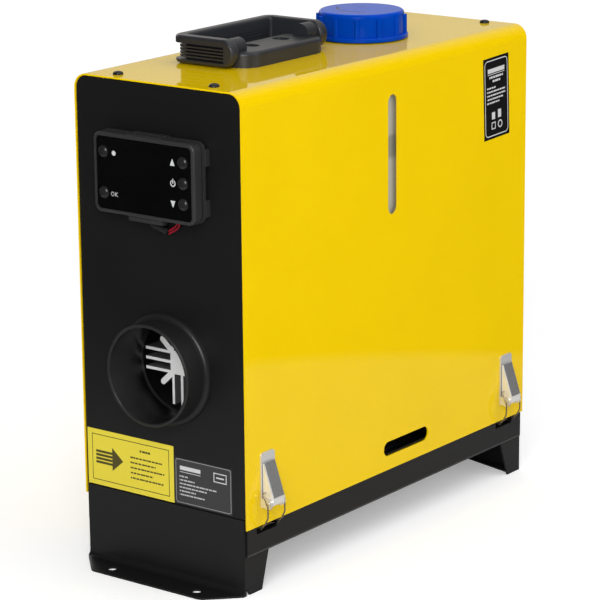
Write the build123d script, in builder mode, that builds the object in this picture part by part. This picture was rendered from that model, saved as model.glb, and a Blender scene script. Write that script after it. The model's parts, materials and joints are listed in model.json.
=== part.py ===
from build123d import *
import math
import os

# Diesel air heater in a sheet-metal carrying case: a fan heater, its fuel tank and its
# controller in one yellow cover on a black base. Millimetres, +Z up, the front faces -Y.
# The origin is on the floor, under the middle of the whole heater.

os.makedirs("parts", exist_ok=True)

# ------------------------------------------------------------------ driving dimensions
case_width = 152.0
case_length = 360.0
case_top = 365.0
case_bottom = 50.0
cover_sheet = 1.2
cover_corner = 11.0

# base and legs
base_sheet = 1.5
skirt_inset = 1.0
skirt_drop = 20.6
foot_reach = 24.0
foot_cut = 22.0
foot_corner = 8.0
foot_hole_radius = 3.5
foot_hole_spacing = 80.0
foot_hole_inset = 10.2
leg_bend = 4.0
leg_rise = 7.1
gusset_top = 28.0
gusset_bottom = 19.5
rear_gusset_bottom = 17.0
rear_pad_reach = 14.0
rear_pad_end = 25.0
upstand_height = 12.0
upstand_gap = 0.6

# end panels
panel_sheet = 1.2
panel_gap = 0.3
panel_recess = 0.8
panel_leg_gap = 0.5
panel_flange = 18.0
rear_reach = 12.0

# fit and clearance values
touch_gap = 0.3
hole_clearance = 0.1
press_clearance = 0.02
running_clearance = 0.06

# cover screws
screw_radius = 2.0
screw_head_radius = 3.8
screw_head_height = 2.2
screw_length = 8.0
cover_screw_inset = 32.3
cover_screw_end = 11.0

# heater unit and its outlet
outlet_side = 3.7
outlet_radius = 37.5
outlet_wall = 2.4
outlet_reach = 21.0
outlet_flange_rim = 4.0
outlet_flange = 4.5
outlet_flange_round = 3.4
shell_width = 110.0
shell_height = 119.0
shell_wall = 2.8
shell_corner = 22.0
shell_front = 14.0
shell_rear_gap = 22.0
stand_height = 45.0
stand_sheet = 2.0
stand_width = 68.0
gasket_sheet = 3.0

# heat exchanger and burner
exchanger_front = 18.0
exchanger_length = 171.0
hub_width = 21.0
hub_height = 17.5
hub_length = 44.0
core_width = 58.0
core_height = 58.0
core_corner = 10.0
fin_sheet = 2.2
fin_pitch = 7.4
fin_end_gap = 3.0
arm_width = 4.4
arm_length = 24.0
burner_radius = 20.0
burner_wall = 1.2
burner_length = 102.0
foot_width = 52.0
foot_length = 62.0
plug_radius = 3.0
plug_length = 26.0

# blower
housing_length = 52.0
chamber_wall = 3.5
chamber_radius = 33.0
chamber_depth = 17.0
motor_radius = 27.0
motor_length = 40.0
shaft_radius = 3.0
fan_radius = 46.0
fan_hub_radius = 22.0
fan_depth = 22.0
fan_blades = 9
side_fan_gap = 4.0
side_fan_blades = 12

# pipes under the heater
exhaust_radius = 12.0
exhaust_wall = 1.5
inlet_radius = 12.5
inlet_wall = 1.5
stub_length = 17.5
pipe_shoulder = 0.3
exhaust_place = 160.0
inlet_place = 214.0

# fuel tank, cap and shelf
shelf_gap = 5.8
shelf_sheet = 1.2
shelf_lip = 8.0
tank_side_gap = 3.0
tank_end_gap = 20.0
tank_top_gap = 12.0
tank_wall = 2.5
tank_corner = 14.0
neck_side = 3.0
neck_place = 240.8
neck_radius = 25.0
neck_wall = 3.5
neck_height = 17.3
neck_boss = 5.0
cap_rim = 3.0
cap_rim_height = 3.0
cap_wall = 5.8
cap_bore_gap = 1.8
cap_gap = 0.8
cap_top = 2.5
cap_ribs = 12
cap_rib_radius = 2.2
cap_rib_drop = 3.4
cap_edge = 2.6
cap_gasket_sheet = 1.5
cap_gasket_gap = 0.2

# fuel line
nipple_radius = 2.0
hose_radius = 3.5
filter_radius = 7.0
filter_length = 40.0
filter_place = 290.0
filter_drop = 94.0
pump_radius = 10.0
pump_length = 65.0
pump_place = 150.0
pump_side_gap = 0.2
pump_height = 18.0
plunger_radius = 4.0
plunger_length = 20.0
plunger_stroke = 4.0
clamp_sheet = 2.0
clamp_width = 16.0

# carrying handle
handle_place = 126.0
handle_plate = 3.0
handle_left = 46.5
handle_right = 21.6
block_left = 13.0
block_height = 11.5
block_corner = 15.0
block_round = 3.0
handle_corner = 9.0
grip_half = 57.5
grip_arm = 8.7
grip_left = 42.6
grip_height = 20.4
grip_lift = 0.8
grip_corner = 9.0
grip_groove = 4.6
grip_skin = 1.0
grip_fins = 4
grip_set_back = 3.4
grip_rim = 5.6
grip_fin = 1.1
grip_flange = 2.2
pivot_side = 4.0
pivot_height = 13.5
pivot_radius = 2.5
ear_radius = 7.0
ear_length = 12.0
pin_depth = 10.0
handle_screw_spacing = 36.0
handle_screw_radius = 2.5
handle_screw_sink = 5.0

# controller
controller_side = -1.2
controller_below_top = 65.8
bezel_width = 92.0
bezel_height = 58.0
bezel_border = 2.7
bezel_corner = 6.0
bezel_reach = 14.0
bezel_depth = 8.0
bezel_tab = (-16.0, 15.0)
bezel_tab_front = 2.2
bezel_tab_sheet = 4.0
bezel_tab_drop = 3.6
bezel_tab_rise = 0.8
window_sheet = 1.8
window_recess = 0.8
button_radius = 4.6
button_proud = 1.9
button_flange = 0.9
button_travel = 0.8
button_round = 1.7
button_inset_left = 8.4
button_inset_right = 11.0
button_inset_top = 14.2
shell_step = 1.6
clip_strip_top = 1.2
clip_strip_low = 2.6
board_sheet = 1.6
wire_radius = 0.75
sleeve_radius = 2.3

# toggle latches
latch_inset_front = 23.7
latch_inset_rear = 26.3
latch_pivot_rise = 17.0
latch_pivot_out = 6.5
latch_plate_sheet = 1.0
latch_plate_half = 8.0
latch_plate_top = 37.0
latch_plate_foot = 3.5
latch_pin_radius = 1.5
latch_ear_radius = 3.9
lever_half = 6.7
lever_sheet = 1.0
lever_bend = 0.9
bail_radius = 0.6
bail_half = 9.8
bail_pin_out = -3.0
bail_pin_up = 8.0
hook_slot_clearance = 1.0
bail_bow = 8.0
bail_bend_high = 7.5
bail_bend_low = 2.4
hook_depth = -4.0
slot_drop = 0.8
slot_height = 5.2
hook_pocket_depth = 6.0
hook_pocket_sheet = 1.0
rivet_radius = 2.0
rivet_head = 3.0

# openings in the cover and the labels on the case
sight_place = 179.0
sight_below_top = 27.5
sight_length = 90.0
sight_width = 11.6
vent_place = 196.5
vent_length = 58.5
vent_width = 11.3
vent_rise = 16.5
label_sheet = 0.2
side_label_turn = 2.4
grille_rim = 8.0
grille_hole = 44.0
grille_sheet = 3.0
gland_side = -48.0
gland_rise = 38.0

# ------------------------------------------------------------------ worked-out places
half_width = case_width / 2
overall_length = foot_reach + case_length + rear_reach
y_front = -overall_length / 2 + foot_reach
y_rear = y_front + case_length
inner_half = half_width - cover_sheet
inner_top = case_top - cover_sheet
skirt_half = half_width - skirt_inset
leg_half = skirt_half - base_sheet
skirt_bottom = case_bottom - skirt_drop
tray_under = case_bottom - base_sheet
panel_face = y_front + panel_recess
panel_back = panel_face + panel_sheet
panel_half = inner_half - panel_gap
panel_top = inner_top - panel_gap
rear_face = y_rear - panel_recess
rear_back = rear_face - panel_sheet
gasket_top = case_bottom + stand_height + gasket_sheet
outlet_height = gasket_top + shell_height / 2
shell_y0 = y_front + shell_front
shell_y1 = y_rear - shell_rear_gap
shell_top = gasket_top + shell_height
shelf_top = shell_top + shelf_gap + shelf_sheet
tank_top = inner_top - tank_top_gap
tank_half = inner_half - tank_side_gap
leg_top = case_bottom + leg_rise
panel_bottom = leg_top + panel_leg_gap
slot_top = case_bottom - slot_drop
gusset_rise = slot_top - slot_height - hook_pocket_sheet - 0.5
latch_pivot_height = case_bottom + latch_pivot_rise
pipe_bottom = tray_under - stub_length
outlet_flange_radius = outlet_radius + outlet_flange_rim
grille_radius = grille_hole + grille_rim
cover_screw_side = half_width - cover_screw_inset
sight_top = case_top - sight_below_top
sight_bottom = sight_top - sight_length
vent_height = case_bottom + vent_rise
gland_height = case_bottom + gland_rise
filter_height = shelf_top - filter_drop
line_side = inner_half - upstand_gap - base_sheet - clamp_sheet - pump_radius - pump_side_gap
housing_half = chamber_radius + chamber_wall
side_fan_radius = chamber_radius - side_fan_gap
neck_bore = neck_radius - neck_wall
neck_boss_radius = neck_radius + neck_boss
cap_gasket_inner = neck_bore + cap_gasket_gap
cap_bore = neck_radius + cap_bore_gap
cap_radius = cap_bore + cap_wall
cap_rim_radius = cap_radius + cap_rim
latch_places = {"front": y_front + latch_inset_front, "rear": y_rear - latch_inset_rear}
sides = {"right": 1, "left": -1}


def place(along):
    """Distance along the case, from the front plane of the cover."""
    return y_front + along


def block(x0, x1, y0, y1, z0, z1, mode=Mode.ADD):
    """A box between two corners, added to the part that is being built."""
    with Locations(((x0 + x1) / 2, (y0 + y1) / 2, (z0 + z1) / 2)):
        Box(x1 - x0, y1 - y0, z1 - z0, mode=mode)


def rod_x(radius, x0, x1, y, z, mode=Mode.ADD):
    with Locations(Location(((x0 + x1) / 2, y, z), (0, 90, 0))):
        Cylinder(radius, x1 - x0, mode=mode)


def rod_y(radius, x, y0, y1, z, mode=Mode.ADD):
    with Locations(Location((x, (y0 + y1) / 2, z), (90, 0, 0))):
        Cylinder(radius, y1 - y0, mode=mode)


def rod_z(radius, x, y, z0, z1, mode=Mode.ADD):
    with Locations((x, y, (z0 + z1) / 2)):
        Cylinder(radius, z1 - z0, mode=mode)


def save(piece, name):
    """Names a finished piece and writes it to its own file."""
    piece.part.label = name
    export_step(piece.part, f"parts/{name}.step")


def corner_radii(points):
    """Largest smooth radius at each corner of a route: 0.45 of the shorter run over
    the tangent of half the turn."""
    radii = []
    for before, corner, after in zip(points, points[1:], points[2:]):
        run_in = Vector(*corner) - Vector(*before)
        run_out = Vector(*after) - Vector(*corner)
        turn = math.radians(run_in.get_angle(run_out))
        radii.append(0.45 * min(run_in.length, run_out.length) / math.tan(turn / 2))
    return radii


# ------------------------------------------------------------------ base and legs
with BuildPart() as base_tray:
    block(-skirt_half, skirt_half, y_front + base_sheet, y_rear - base_sheet, tray_under, case_bottom)
    for side in sides.values():
        skirt = sorted((side * skirt_half, side * (skirt_half - base_sheet)))
        block(*skirt, y_front + base_sheet, y_rear - base_sheet, skirt_bottom, case_bottom)
        upstand_out = inner_half - upstand_gap
        upstand = sorted((side * upstand_out, side * (upstand_out - base_sheet)))
        upstand_end = panel_flange + 8
        block(*upstand, place(upstand_end), y_rear - upstand_end, case_bottom, case_bottom + upstand_height)
        for hook_y in latch_places.values():
            slot_half = bail_half + bail_radius + hook_slot_clearance
            block(
                *skirt, hook_y - slot_half, hook_y + slot_half, slot_top - slot_height, slot_top,
                mode=Mode.SUBTRACT,
            )
            # pressed pocket behind the slot, in which the bail's cross bar sits
            pocket_half = slot_half + hook_pocket_sheet
            pocket_floor = slot_top - slot_height - hook_pocket_sheet
            pocket_end = leg_half - hook_pocket_depth - hook_pocket_sheet
            pocket = sorted((side * leg_half, side * pocket_end))
            space = sorted((side * leg_half, side * (leg_half - hook_pocket_depth)))
            block(*pocket, hook_y - pocket_half, hook_y + pocket_half, pocket_floor, tray_under)
            block(
                *space, hook_y - slot_half, hook_y + slot_half, slot_top - slot_height, tray_under,
                mode=Mode.SUBTRACT,
            )
    rod_z(
        exhaust_radius + 1.0, outlet_side, place(exhaust_place), tray_under, case_bottom, mode=Mode.SUBTRACT,
    )
    rod_z(inlet_radius + 1.0, outlet_side, place(inlet_place), tray_under, case_bottom, mode=Mode.SUBTRACT)
save(base_tray, "base_tray")

# Front leg: one bent sheet with a foot that reaches forward and two side gussets.
with BuildPart() as front_leg:
    with BuildSketch(Plane.YZ) as front_leg_profile:
        with BuildLine():
            Polyline(
                (y_front - foot_reach, 0), (y_front + base_sheet, 0), (y_front + base_sheet, leg_top),
                (y_front, leg_top), (y_front, base_sheet), (y_front - foot_reach, base_sheet), close=True,
            )
        make_face()
        leg_corners = front_leg_profile.vertices()
        bend_corners = leg_corners.filter_by_position(Axis.X, y_front - 0.1, y_front + base_sheet + 0.1)
        inner_bend = bend_corners.filter_by_position(Axis.Y, base_sheet - 0.1, base_sheet + 0.1)
        outer_bend = bend_corners.filter_by_position(Axis.Y, -0.1, 0.1)
        fillet(inner_bend, leg_bend)
        fillet(outer_bend, leg_bend + base_sheet)
    extrude(amount=leg_half, both=True)
    for foot_side in sides.values():
        with BuildSketch(Plane.XY):
            with BuildLine():
                Polyline(
                    (foot_side * (leg_half + 1), y_front - foot_reach - 1),
                    (foot_side * (leg_half + 1), y_front - foot_reach + foot_cut + 1),
                    (foot_side * (leg_half - foot_cut - 1), y_front - foot_reach - 1), close=True,
                )
            make_face()
        extrude(amount=leg_bend + base_sheet, mode=Mode.SUBTRACT)
    foot_corners = front_leg.edges().filter_by(Axis.Z).group_by(Axis.Y)[0]
    fillet(foot_corners, foot_corner)
    for hole_side in sides.values():
        rod_z(
            foot_hole_radius, hole_side * foot_hole_spacing / 2, y_front - foot_reach + foot_hole_inset,
            0, base_sheet, mode=Mode.SUBTRACT,
        )
    for gusset_side in sides.values():
        gusset_plane = Plane.YZ.offset(gusset_side * leg_half)
        with BuildSketch(gusset_plane):
            with BuildLine():
                Polyline(
                    (y_front + base_sheet, leg_bend + base_sheet), (y_front + leg_bend + base_sheet, 0),
                    (y_front + gusset_bottom, 0), (y_front + gusset_top, skirt_bottom),
                    (y_front + gusset_top, gusset_rise),
                    (y_front + base_sheet, gusset_rise), close=True,
                )
            make_face()
        extrude(amount=-gusset_side * base_sheet)
save(front_leg, "front_leg")

# Rear leg: the same sheet without the foot; two corner pads turn inwards on the floor.
with BuildPart() as rear_leg:
    block(-leg_half, leg_half, y_rear - base_sheet, y_rear, 0, leg_top)
    for pad_side in sides.values():
        with BuildSketch(Plane.XY):
            with BuildLine():
                Polyline(
                    (pad_side * leg_half, y_rear - base_sheet),
                    (pad_side * leg_half, y_rear - rear_pad_reach),
                    (pad_side * rear_pad_end, y_rear - base_sheet), close=True,
                )
            make_face()
        extrude(amount=base_sheet)
    for gusset_side in sides.values():
        with BuildSketch(Plane.YZ.offset(gusset_side * leg_half)):
            with BuildLine():
                Polyline(
                    (y_rear - base_sheet, 0), (y_rear - rear_gusset_bottom, 0),
                    (y_rear - gusset_top, skirt_bottom), (y_rear - gusset_top, gusset_rise),
                    (y_rear - base_sheet, gusset_rise), close=True,
                )
            make_face()
        extrude(amount=-gusset_side * base_sheet)
save(rear_leg, "rear_leg")

# ------------------------------------------------------------------ cover and end panels
handle_y = place(handle_place)
neck_y = place(neck_place)
rivet_heights = (latch_pivot_height + 13, latch_pivot_height + 23)
cover_screw_places = [
    (side * cover_screw_side, along)
    for side in sides.values()
    for along in (y_front + cover_screw_end, y_rear - cover_screw_end)
]

with BuildPart() as cover:
    with BuildSketch(Plane.XZ.offset(-y_front)) as cover_profile:
        with Locations((0, (case_bottom + case_top) / 2)):
            Rectangle(case_width, case_top - case_bottom)
        fillet(cover_profile.vertices().group_by(Axis.Y)[-1], cover_corner)
    extrude(amount=-case_length)
    with BuildSketch(Plane.XZ.offset(-y_front)) as cover_hollow:
        with Locations((0, (case_bottom + inner_top) / 2)):
            Rectangle(2 * inner_half, inner_top - case_bottom)
        fillet(cover_hollow.vertices().group_by(Axis.Y)[-1], cover_corner - cover_sheet)
    extrude(amount=-case_length, mode=Mode.SUBTRACT)
    # sight slot for the fuel level and the low vent, both in the right-hand wall
    with BuildSketch(Plane.YZ.offset(half_width)):
        with Locations((place(sight_place), (sight_bottom + sight_top) / 2)):
            SlotOverall(sight_top - sight_bottom, sight_width, rotation=90)
        with Locations((place(vent_place), vent_height)):
            SlotOverall(vent_length, vent_width)
    extrude(amount=-cover_sheet, mode=Mode.SUBTRACT)
    # holes in the top: filler neck, handle screws and the four cover screws
    rod_z(neck_radius + 2, neck_side, neck_y, inner_top, case_top, mode=Mode.SUBTRACT)
    for spread in (-0.5, 0.5):
        rod_z(
            handle_screw_radius + hole_clearance, 0, handle_y + spread * handle_screw_spacing,
            inner_top, case_top, mode=Mode.SUBTRACT,
        )
    for screw_x, screw_y in cover_screw_places:
        rod_z(screw_radius + hole_clearance, screw_x, screw_y, inner_top, case_top, mode=Mode.SUBTRACT)
    # rivet holes of the latch plates
    for side in sides.values():
        wall = sorted((side * half_width, side * inner_half))
        for latch_y in latch_places.values():
            for rivet_z in rivet_heights:
                rod_x(rivet_radius + press_clearance, *wall, latch_y, rivet_z, mode=Mode.SUBTRACT)
save(cover, "cover")


def end_panel(face_y, inward, hole_radius, lead_x, lead_z, lead_radius):
    """A pressed end panel: a flat face with its sides and top turned in. inward is 1
    for the front panel and -1 for the rear one."""
    with BuildPart() as panel:
        with BuildSketch(Plane.XZ.offset(-face_y)) as outline:
            with Locations((0, (panel_bottom + panel_top) / 2)):
                Rectangle(2 * panel_half, panel_top - panel_bottom)
            fillet(outline.vertices().group_by(Axis.Y)[-1], cover_corner - cover_sheet - panel_gap)
        extrude(amount=-inward * panel_flange)
        back_y = face_y + inward * panel_sheet
        with BuildSketch(Plane.XZ.offset(-back_y)) as hollow:
            hollow_top = panel_top - panel_sheet
            with Locations((0, (panel_bottom + hollow_top) / 2)):
                Rectangle(2 * (panel_half - panel_sheet), hollow_top - panel_bottom)
            fillet(
                hollow.vertices().group_by(Axis.Y)[-1], cover_corner - cover_sheet - panel_gap - panel_sheet,
            )
        extrude(amount=-inward * (panel_flange - panel_sheet), mode=Mode.SUBTRACT)
        faces = sorted((face_y, back_y))
        rod_y(hole_radius, outlet_side, *faces, outlet_height, mode=Mode.SUBTRACT)
        rod_y(lead_radius, lead_x, *faces, lead_z, mode=Mode.SUBTRACT)
        screw_y = y_front + cover_screw_end if inward > 0 else y_rear - cover_screw_end
        for side in sides.values():
            rod_z(
                screw_radius + hole_clearance, side * cover_screw_side, screw_y,
                panel_top - panel_sheet, panel_top, mode=Mode.SUBTRACT,
            )
    return panel


lead_hole_x = controller_side - 4.0
controller_z = case_top - controller_below_top
lead_hole_z = controller_z - 34.0
front_panel = end_panel(
    panel_face, 1, outlet_radius + touch_gap, lead_hole_x, lead_hole_z, sleeve_radius + touch_gap
)
save(front_panel, "front_panel")

gland_thread_radius = 7.0
rear_panel = end_panel(
    rear_face, -1, grille_hole, gland_side, gland_height, gland_thread_radius + hole_clearance
)
save(rear_panel, "rear_panel")

# Button-head screws that hold the cover to the turned-in tops of the end panels.
with BuildPart() as cover_screws:
    for screw_x, screw_y in cover_screw_places:
        rod_z(screw_head_radius, screw_x, screw_y, case_top, case_top + screw_head_height)
        rod_z(screw_radius, screw_x, screw_y, case_top - screw_length, case_top)
    head_rims = cover_screws.edges().filter_by(GeomType.CIRCLE).group_by(Axis.Z)[-1]
    fillet(head_rims, screw_head_height * 0.8)
    for screw_x, screw_y in cover_screw_places:
        with BuildSketch(Plane.XY.offset(case_top + screw_head_height)):
            with Locations((screw_x, screw_y)):
                RegularPolygon(screw_radius * 0.72, 6)
        extrude(amount=-screw_head_height * 0.6, mode=Mode.SUBTRACT)
save(cover_screws, "cover_screws")

# ------------------------------------------------------------------ outlet and intake
with BuildPart() as outlet_collar:
    rod_y(outlet_radius, outlet_side, y_front - outlet_reach, shell_y0, outlet_height)
    rod_y(outlet_flange_radius, outlet_side, panel_face - outlet_flange, panel_face, outlet_height)
    flange_rim = outlet_collar.edges().filter_by(GeomType.CIRCLE).filter_by_position(
        Axis.Y, panel_face - outlet_flange - 0.1, panel_face - outlet_flange + 0.1
    ).sort_by(SortBy.RADIUS)[-1]
    fillet(flange_rim, outlet_flange_round)
    rod_y(
        outlet_radius - outlet_wall, outlet_side, y_front - outlet_reach, shell_y0, outlet_height,
        mode=Mode.SUBTRACT,
    )
    mouth_rims = outlet_collar.edges().filter_by(GeomType.CIRCLE).group_by(Axis.Y)[0]
    fillet(mouth_rims, outlet_wall * 0.35)
save(outlet_collar, "outlet_collar")

with BuildPart() as intake_grille:
    with BuildSketch(Plane.XZ.offset(-rear_face)):
        with Locations((outlet_side, outlet_height)):
            Circle(grille_radius)
            Circle(grille_hole - 2, mode=Mode.SUBTRACT)
            for ring in (grille_hole - 32, grille_hole - 22, grille_hole - 12):
                Circle(ring + 1.1)
                Circle(ring - 1.1, mode=Mode.SUBTRACT)
            Circle(4.0)
            with PolarLocations(0, 6, start_angle=30):
                with Locations(((grille_hole + 2) / 2, 0)):
                    Rectangle(grille_hole - 2, 2.2)
    extrude(amount=-grille_sheet)
    fillet(intake_grille.edges().filter_by(GeomType.CIRCLE).sort_by(SortBy.RADIUS)[-1], 1.0)
save(intake_grille, "intake_grille")

with BuildPart() as cable_gland:
    with BuildSketch(Plane.XZ.offset(-rear_face)):
        with Locations((gland_side, gland_height)):
            RegularPolygon(11.0, 6)
    extrude(amount=-5.0)
    rod_y(8.5, gland_side, rear_face, y_rear + rear_reach, gland_height)
    dome_rim = cable_gland.edges().filter_by(GeomType.CIRCLE).group_by(Axis.Y)[-1]
    fillet(dome_rim, 3.0)
    rod_y(gland_thread_radius, gland_side, rear_back - 10.0, rear_face, gland_height)
    with BuildSketch(Plane.XZ.offset(-rear_back)):
        with Locations((gland_side, gland_height)):
            RegularPolygon(10.5, 6)
    extrude(amount=4.0)
    rod_y(3.5, gland_side, rear_back - 10.0, y_rear + rear_reach, gland_height, mode=Mode.SUBTRACT)
save(cable_gland, "cable_gland")

# Printed labels: two on the front panel and one on the right-hand wall.
label_left = -(half_width - 2.7)
front_labels = [
    (label_left, label_left + 82.0, panel_bottom + 0.4, panel_bottom + 43.2),
    (label_left + 83.0, label_left + 135.6, panel_bottom + 1.2, panel_bottom + 35.6),
]
with BuildPart() as labels:
    for x0, x1, z0, z1 in front_labels:
        block(x0, x1, panel_face - label_sheet, panel_face, z0, z1)
    side_label_centre = (half_width + label_sheet / 2, y_rear - 42.6, case_top - 50.7)
    with Locations(Location(side_label_centre, (side_label_turn, 0, 0))):
        Box(label_sheet, 35.2, 64.0)
save(labels, "labels")

# ------------------------------------------------------------------ carrying handle
block_half = grip_half - grip_arm - 0.5
pivot_z = case_top + pivot_height
grip_top = case_top + grip_lift + grip_height
grip_mid = case_top + grip_lift + grip_height / 2
pin_hole = pivot_radius + running_clearance
pin_cover = grip_groove + grip_skin

with BuildPart() as handle_base:
    with BuildSketch(Plane.XY.offset(case_top)) as handle_plan:
        with Locations(((handle_right - handle_left) / 2, handle_y)):
            Rectangle(handle_left + handle_right, 2 * block_half)
        fillet(handle_plan.vertices().group_by(Axis.X)[0], handle_corner)
        fillet(handle_plan.vertices().group_by(Axis.X)[-1], block_corner)
    extrude(amount=handle_plate)
    with BuildSketch(Plane.XY.offset(case_top)):
        with Locations(((handle_right - block_left) / 2, handle_y)):
            RectangleRounded(block_left + handle_right, 2 * block_half, block_corner)
    extrude(amount=block_height)
    block_rims = handle_base.edges().group_by(Axis.Z)[-1]
    fillet(block_rims, block_round)
    for end in (1, -1):
        ear = sorted((handle_y + end * block_half, handle_y + end * (block_half - ear_length)))
        rod_y(ear_radius, pivot_side, *ear, pivot_z)
        seat = sorted((handle_y + end * block_half, handle_y + end * (block_half - pin_depth)))
        rod_y(pivot_radius + press_clearance, pivot_side, *seat, pivot_z, mode=Mode.SUBTRACT)
    for spread in (-0.5, 0.5):
        screw_y = handle_y + spread * handle_screw_spacing
        with BuildSketch(Plane.XY.offset(case_top + block_height)):
            with Locations((0, screw_y)):
                SlotOverall(14.0, 10.0)
        extrude(amount=-handle_screw_sink, mode=Mode.SUBTRACT)
        rod_z(
            handle_screw_radius + hole_clearance, 0, screw_y, case_top, case_top + block_height,
            mode=Mode.SUBTRACT,
        )
save(handle_base, "handle_base")

# Folding grip: a bar and two arms, with a groove and fins along the outside of the bar.
grip_inner_left = grip_left - grip_arm
with BuildPart() as handle_grip:
    with BuildSketch(Plane.XY.offset(case_top + grip_lift)) as grip_plan:
        with Locations(((20 - grip_left) / 2, handle_y)):
            Rectangle(grip_left + 20, 2 * grip_half)
        fillet(grip_plan.vertices().group_by(Axis.X)[0], grip_corner)
        with Locations(((20 - grip_inner_left) / 2, handle_y)):
            RectangleRounded(grip_inner_left + 20, 2 * (grip_half - grip_arm), 3.0, mode=Mode.SUBTRACT)
        with Locations((15, handle_y)):
            Rectangle(12, 2 * (grip_half - grip_arm), mode=Mode.SUBTRACT)
    extrude(amount=grip_height)
    with BuildSketch(Plane.XZ.offset(-(handle_y - grip_half))) as grip_side:
        with Locations(((pivot_side - grip_left) / 2, grip_mid)):
            Rectangle(pivot_side + grip_left, grip_height)
        with Locations((pivot_side, grip_mid)):
            Circle(grip_height / 2)
    extrude(amount=-2 * grip_half, mode=Mode.INTERSECT)
    fillet(handle_grip.edges().group_by(Axis.Z)[-1], 2.2)
    # the bar stays above the thin plate of the base
    block(
        -grip_left - 1, -grip_inner_left + 3.5, handle_y - block_half - 0.4, handle_y + block_half + 0.4,
        case_top, case_top + handle_plate + 0.5, mode=Mode.SUBTRACT,
    )
    # comb round the outside: an open groove that level fins divide
    groove_bottom = case_top + handle_plate + 0.5 + grip_flange - 2.0
    groove_top = grip_top - grip_rim
    fin_step = (groove_top - groove_bottom) / (grip_fins + 1)
    with BuildSketch(Plane.XY.offset(groove_bottom)):
        with Locations(((pivot_side - grip_left) / 2, handle_y)):
            Rectangle(grip_left + pivot_side + 20, 2 * grip_half + 20)
        with Locations(((30 - grip_left + grip_set_back) / 2 + grip_groove, handle_y)):
            RectangleRounded(
                grip_left - grip_set_back + 30, 2 * (grip_half - grip_groove), grip_corner - grip_groove,
                mode=Mode.SUBTRACT,
            )
        with Locations((pivot_side + 17, handle_y)):
            Rectangle(30, 2 * grip_half + 30, mode=Mode.SUBTRACT)
    extrude(amount=groove_top - groove_bottom, mode=Mode.SUBTRACT)
    for index in range(grip_fins):
        fin_z = groove_bottom + (index + 1) * fin_step
        fin_left = -grip_left + grip_set_back
        with BuildSketch(Plane.XY.offset(fin_z - grip_fin / 2)) as fin_plan:
            with Locations(((pivot_side + 2.5 + fin_left) / 2, handle_y)):
                Rectangle(pivot_side + 2.5 - fin_left, 2 * grip_half - 1.2)
            fillet(fin_plan.vertices().group_by(Axis.X)[0], grip_corner)
            with Locations(((30 + fin_left) / 2 + grip_groove + 1, handle_y)):
                Rectangle(30 - fin_left, 2 * (grip_half - grip_groove - 1), mode=Mode.SUBTRACT)
        extrude(amount=grip_fin)
    rod_y(
        pin_hole, pivot_side, handle_y - grip_half + pin_cover, handle_y + grip_half - pin_cover, pivot_z,
        mode=Mode.SUBTRACT,
    )
save(handle_grip, "handle_grip")

# Two pins carry the grip and four carry the latch levers.
pin_head = 0.4
latch_pin_half = latch_plate_half + pin_head
with BuildPart() as pivot_pins:
    for end in (1, -1):
        pin_out = grip_half - pin_cover - touch_gap
        pin = sorted((handle_y + end * pin_out, handle_y + end * (block_half - pin_depth)))
        rod_y(pivot_radius, pivot_side, *pin, pivot_z)
    for side in sides.values():
        for latch_y in latch_places.values():
            pin_x = side * (half_width + latch_pivot_out)
            rod_y(
                latch_pin_radius, pin_x, latch_y - latch_pin_half,
                latch_y + latch_pin_half, latch_pivot_height,
            )
save(pivot_pins, "pivot_pins")

with BuildPart() as handle_screws:
    screw_seat = case_top + block_height - handle_screw_sink
    for spread in (-0.5, 0.5):
        screw_y = handle_y + spread * handle_screw_spacing
        rod_z(4.4, 0, screw_y, screw_seat, screw_seat + 2.6)
        rod_z(handle_screw_radius, 0, screw_y, inner_top - 8, screw_seat)
        with BuildSketch(Plane.XY.offset(inner_top)):
            with Locations((0, screw_y)):
                RegularPolygon(4.8, 6)
        extrude(amount=-4.0)
    fillet(handle_screws.edges().filter_by(GeomType.CIRCLE).group_by(Axis.Z)[-1], 1.8)
    for spread in (-0.5, 0.5):
        with BuildSketch(Plane.XY.offset(screw_seat + 2.6)):
            with Locations((0, handle_y + spread * handle_screw_spacing)):
                Rectangle(4.2, 0.9)
                Rectangle(0.9, 4.2)
        extrude(amount=-1.2, mode=Mode.SUBTRACT)
save(handle_screws, "handle_screws")

# ------------------------------------------------------------------ fuel tank and cap
tank_y0 = place(tank_end_gap)
tank_y1 = y_rear - tank_end_gap
tank_mid = (tank_y0 + tank_y1) / 2
neck_top = case_top + neck_height
filter_y = place(filter_place)

with BuildPart() as tank_shelf:
    block(-(panel_half - panel_sheet - 0.5), panel_half - panel_sheet - 0.5, panel_back, rear_back,
          shelf_top - shelf_sheet, shelf_top)
    for lip in ((panel_back, panel_back + shelf_sheet), (rear_back - shelf_sheet, rear_back)):
        block(
            -(panel_half - panel_sheet - 0.5), panel_half - panel_sheet - 0.5, *lip,
            shelf_top, shelf_top + shelf_lip,
        )
    rod_z(hose_radius + 1.5, -line_side, filter_y, shelf_top - shelf_sheet, shelf_top, mode=Mode.SUBTRACT)
save(tank_shelf, "tank_shelf")

with BuildPart() as fuel_tank:
    block(-tank_half, tank_half, tank_y0, tank_y1, shelf_top, tank_top)
    fillet(fuel_tank.edges(), tank_corner)
    rod_z(neck_boss_radius, neck_side, neck_y, tank_top - tank_wall, inner_top)
    rod_z(neck_radius, neck_side, neck_y, inner_top, neck_top)
    rod_z(nipple_radius, -line_side, filter_y, shelf_top - 12, shelf_top + 4.5)
with BuildPart() as tank_space:
    inside = tank_wall
    block(-tank_half + inside, tank_half - inside, tank_y0 + inside, tank_y1 - inside,
          shelf_top + inside, tank_top - inside)
    fillet(tank_space.edges(), tank_corner - tank_wall)
    rod_z(neck_bore, neck_side, neck_y, tank_top - 2 * tank_wall, neck_top)
    rod_z(nipple_radius / 2, -line_side, filter_y, shelf_top - 12, shelf_top + 8)
with fuel_tank:
    add(tank_space.part, mode=Mode.SUBTRACT)
save(fuel_tank, "fuel_tank")

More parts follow.
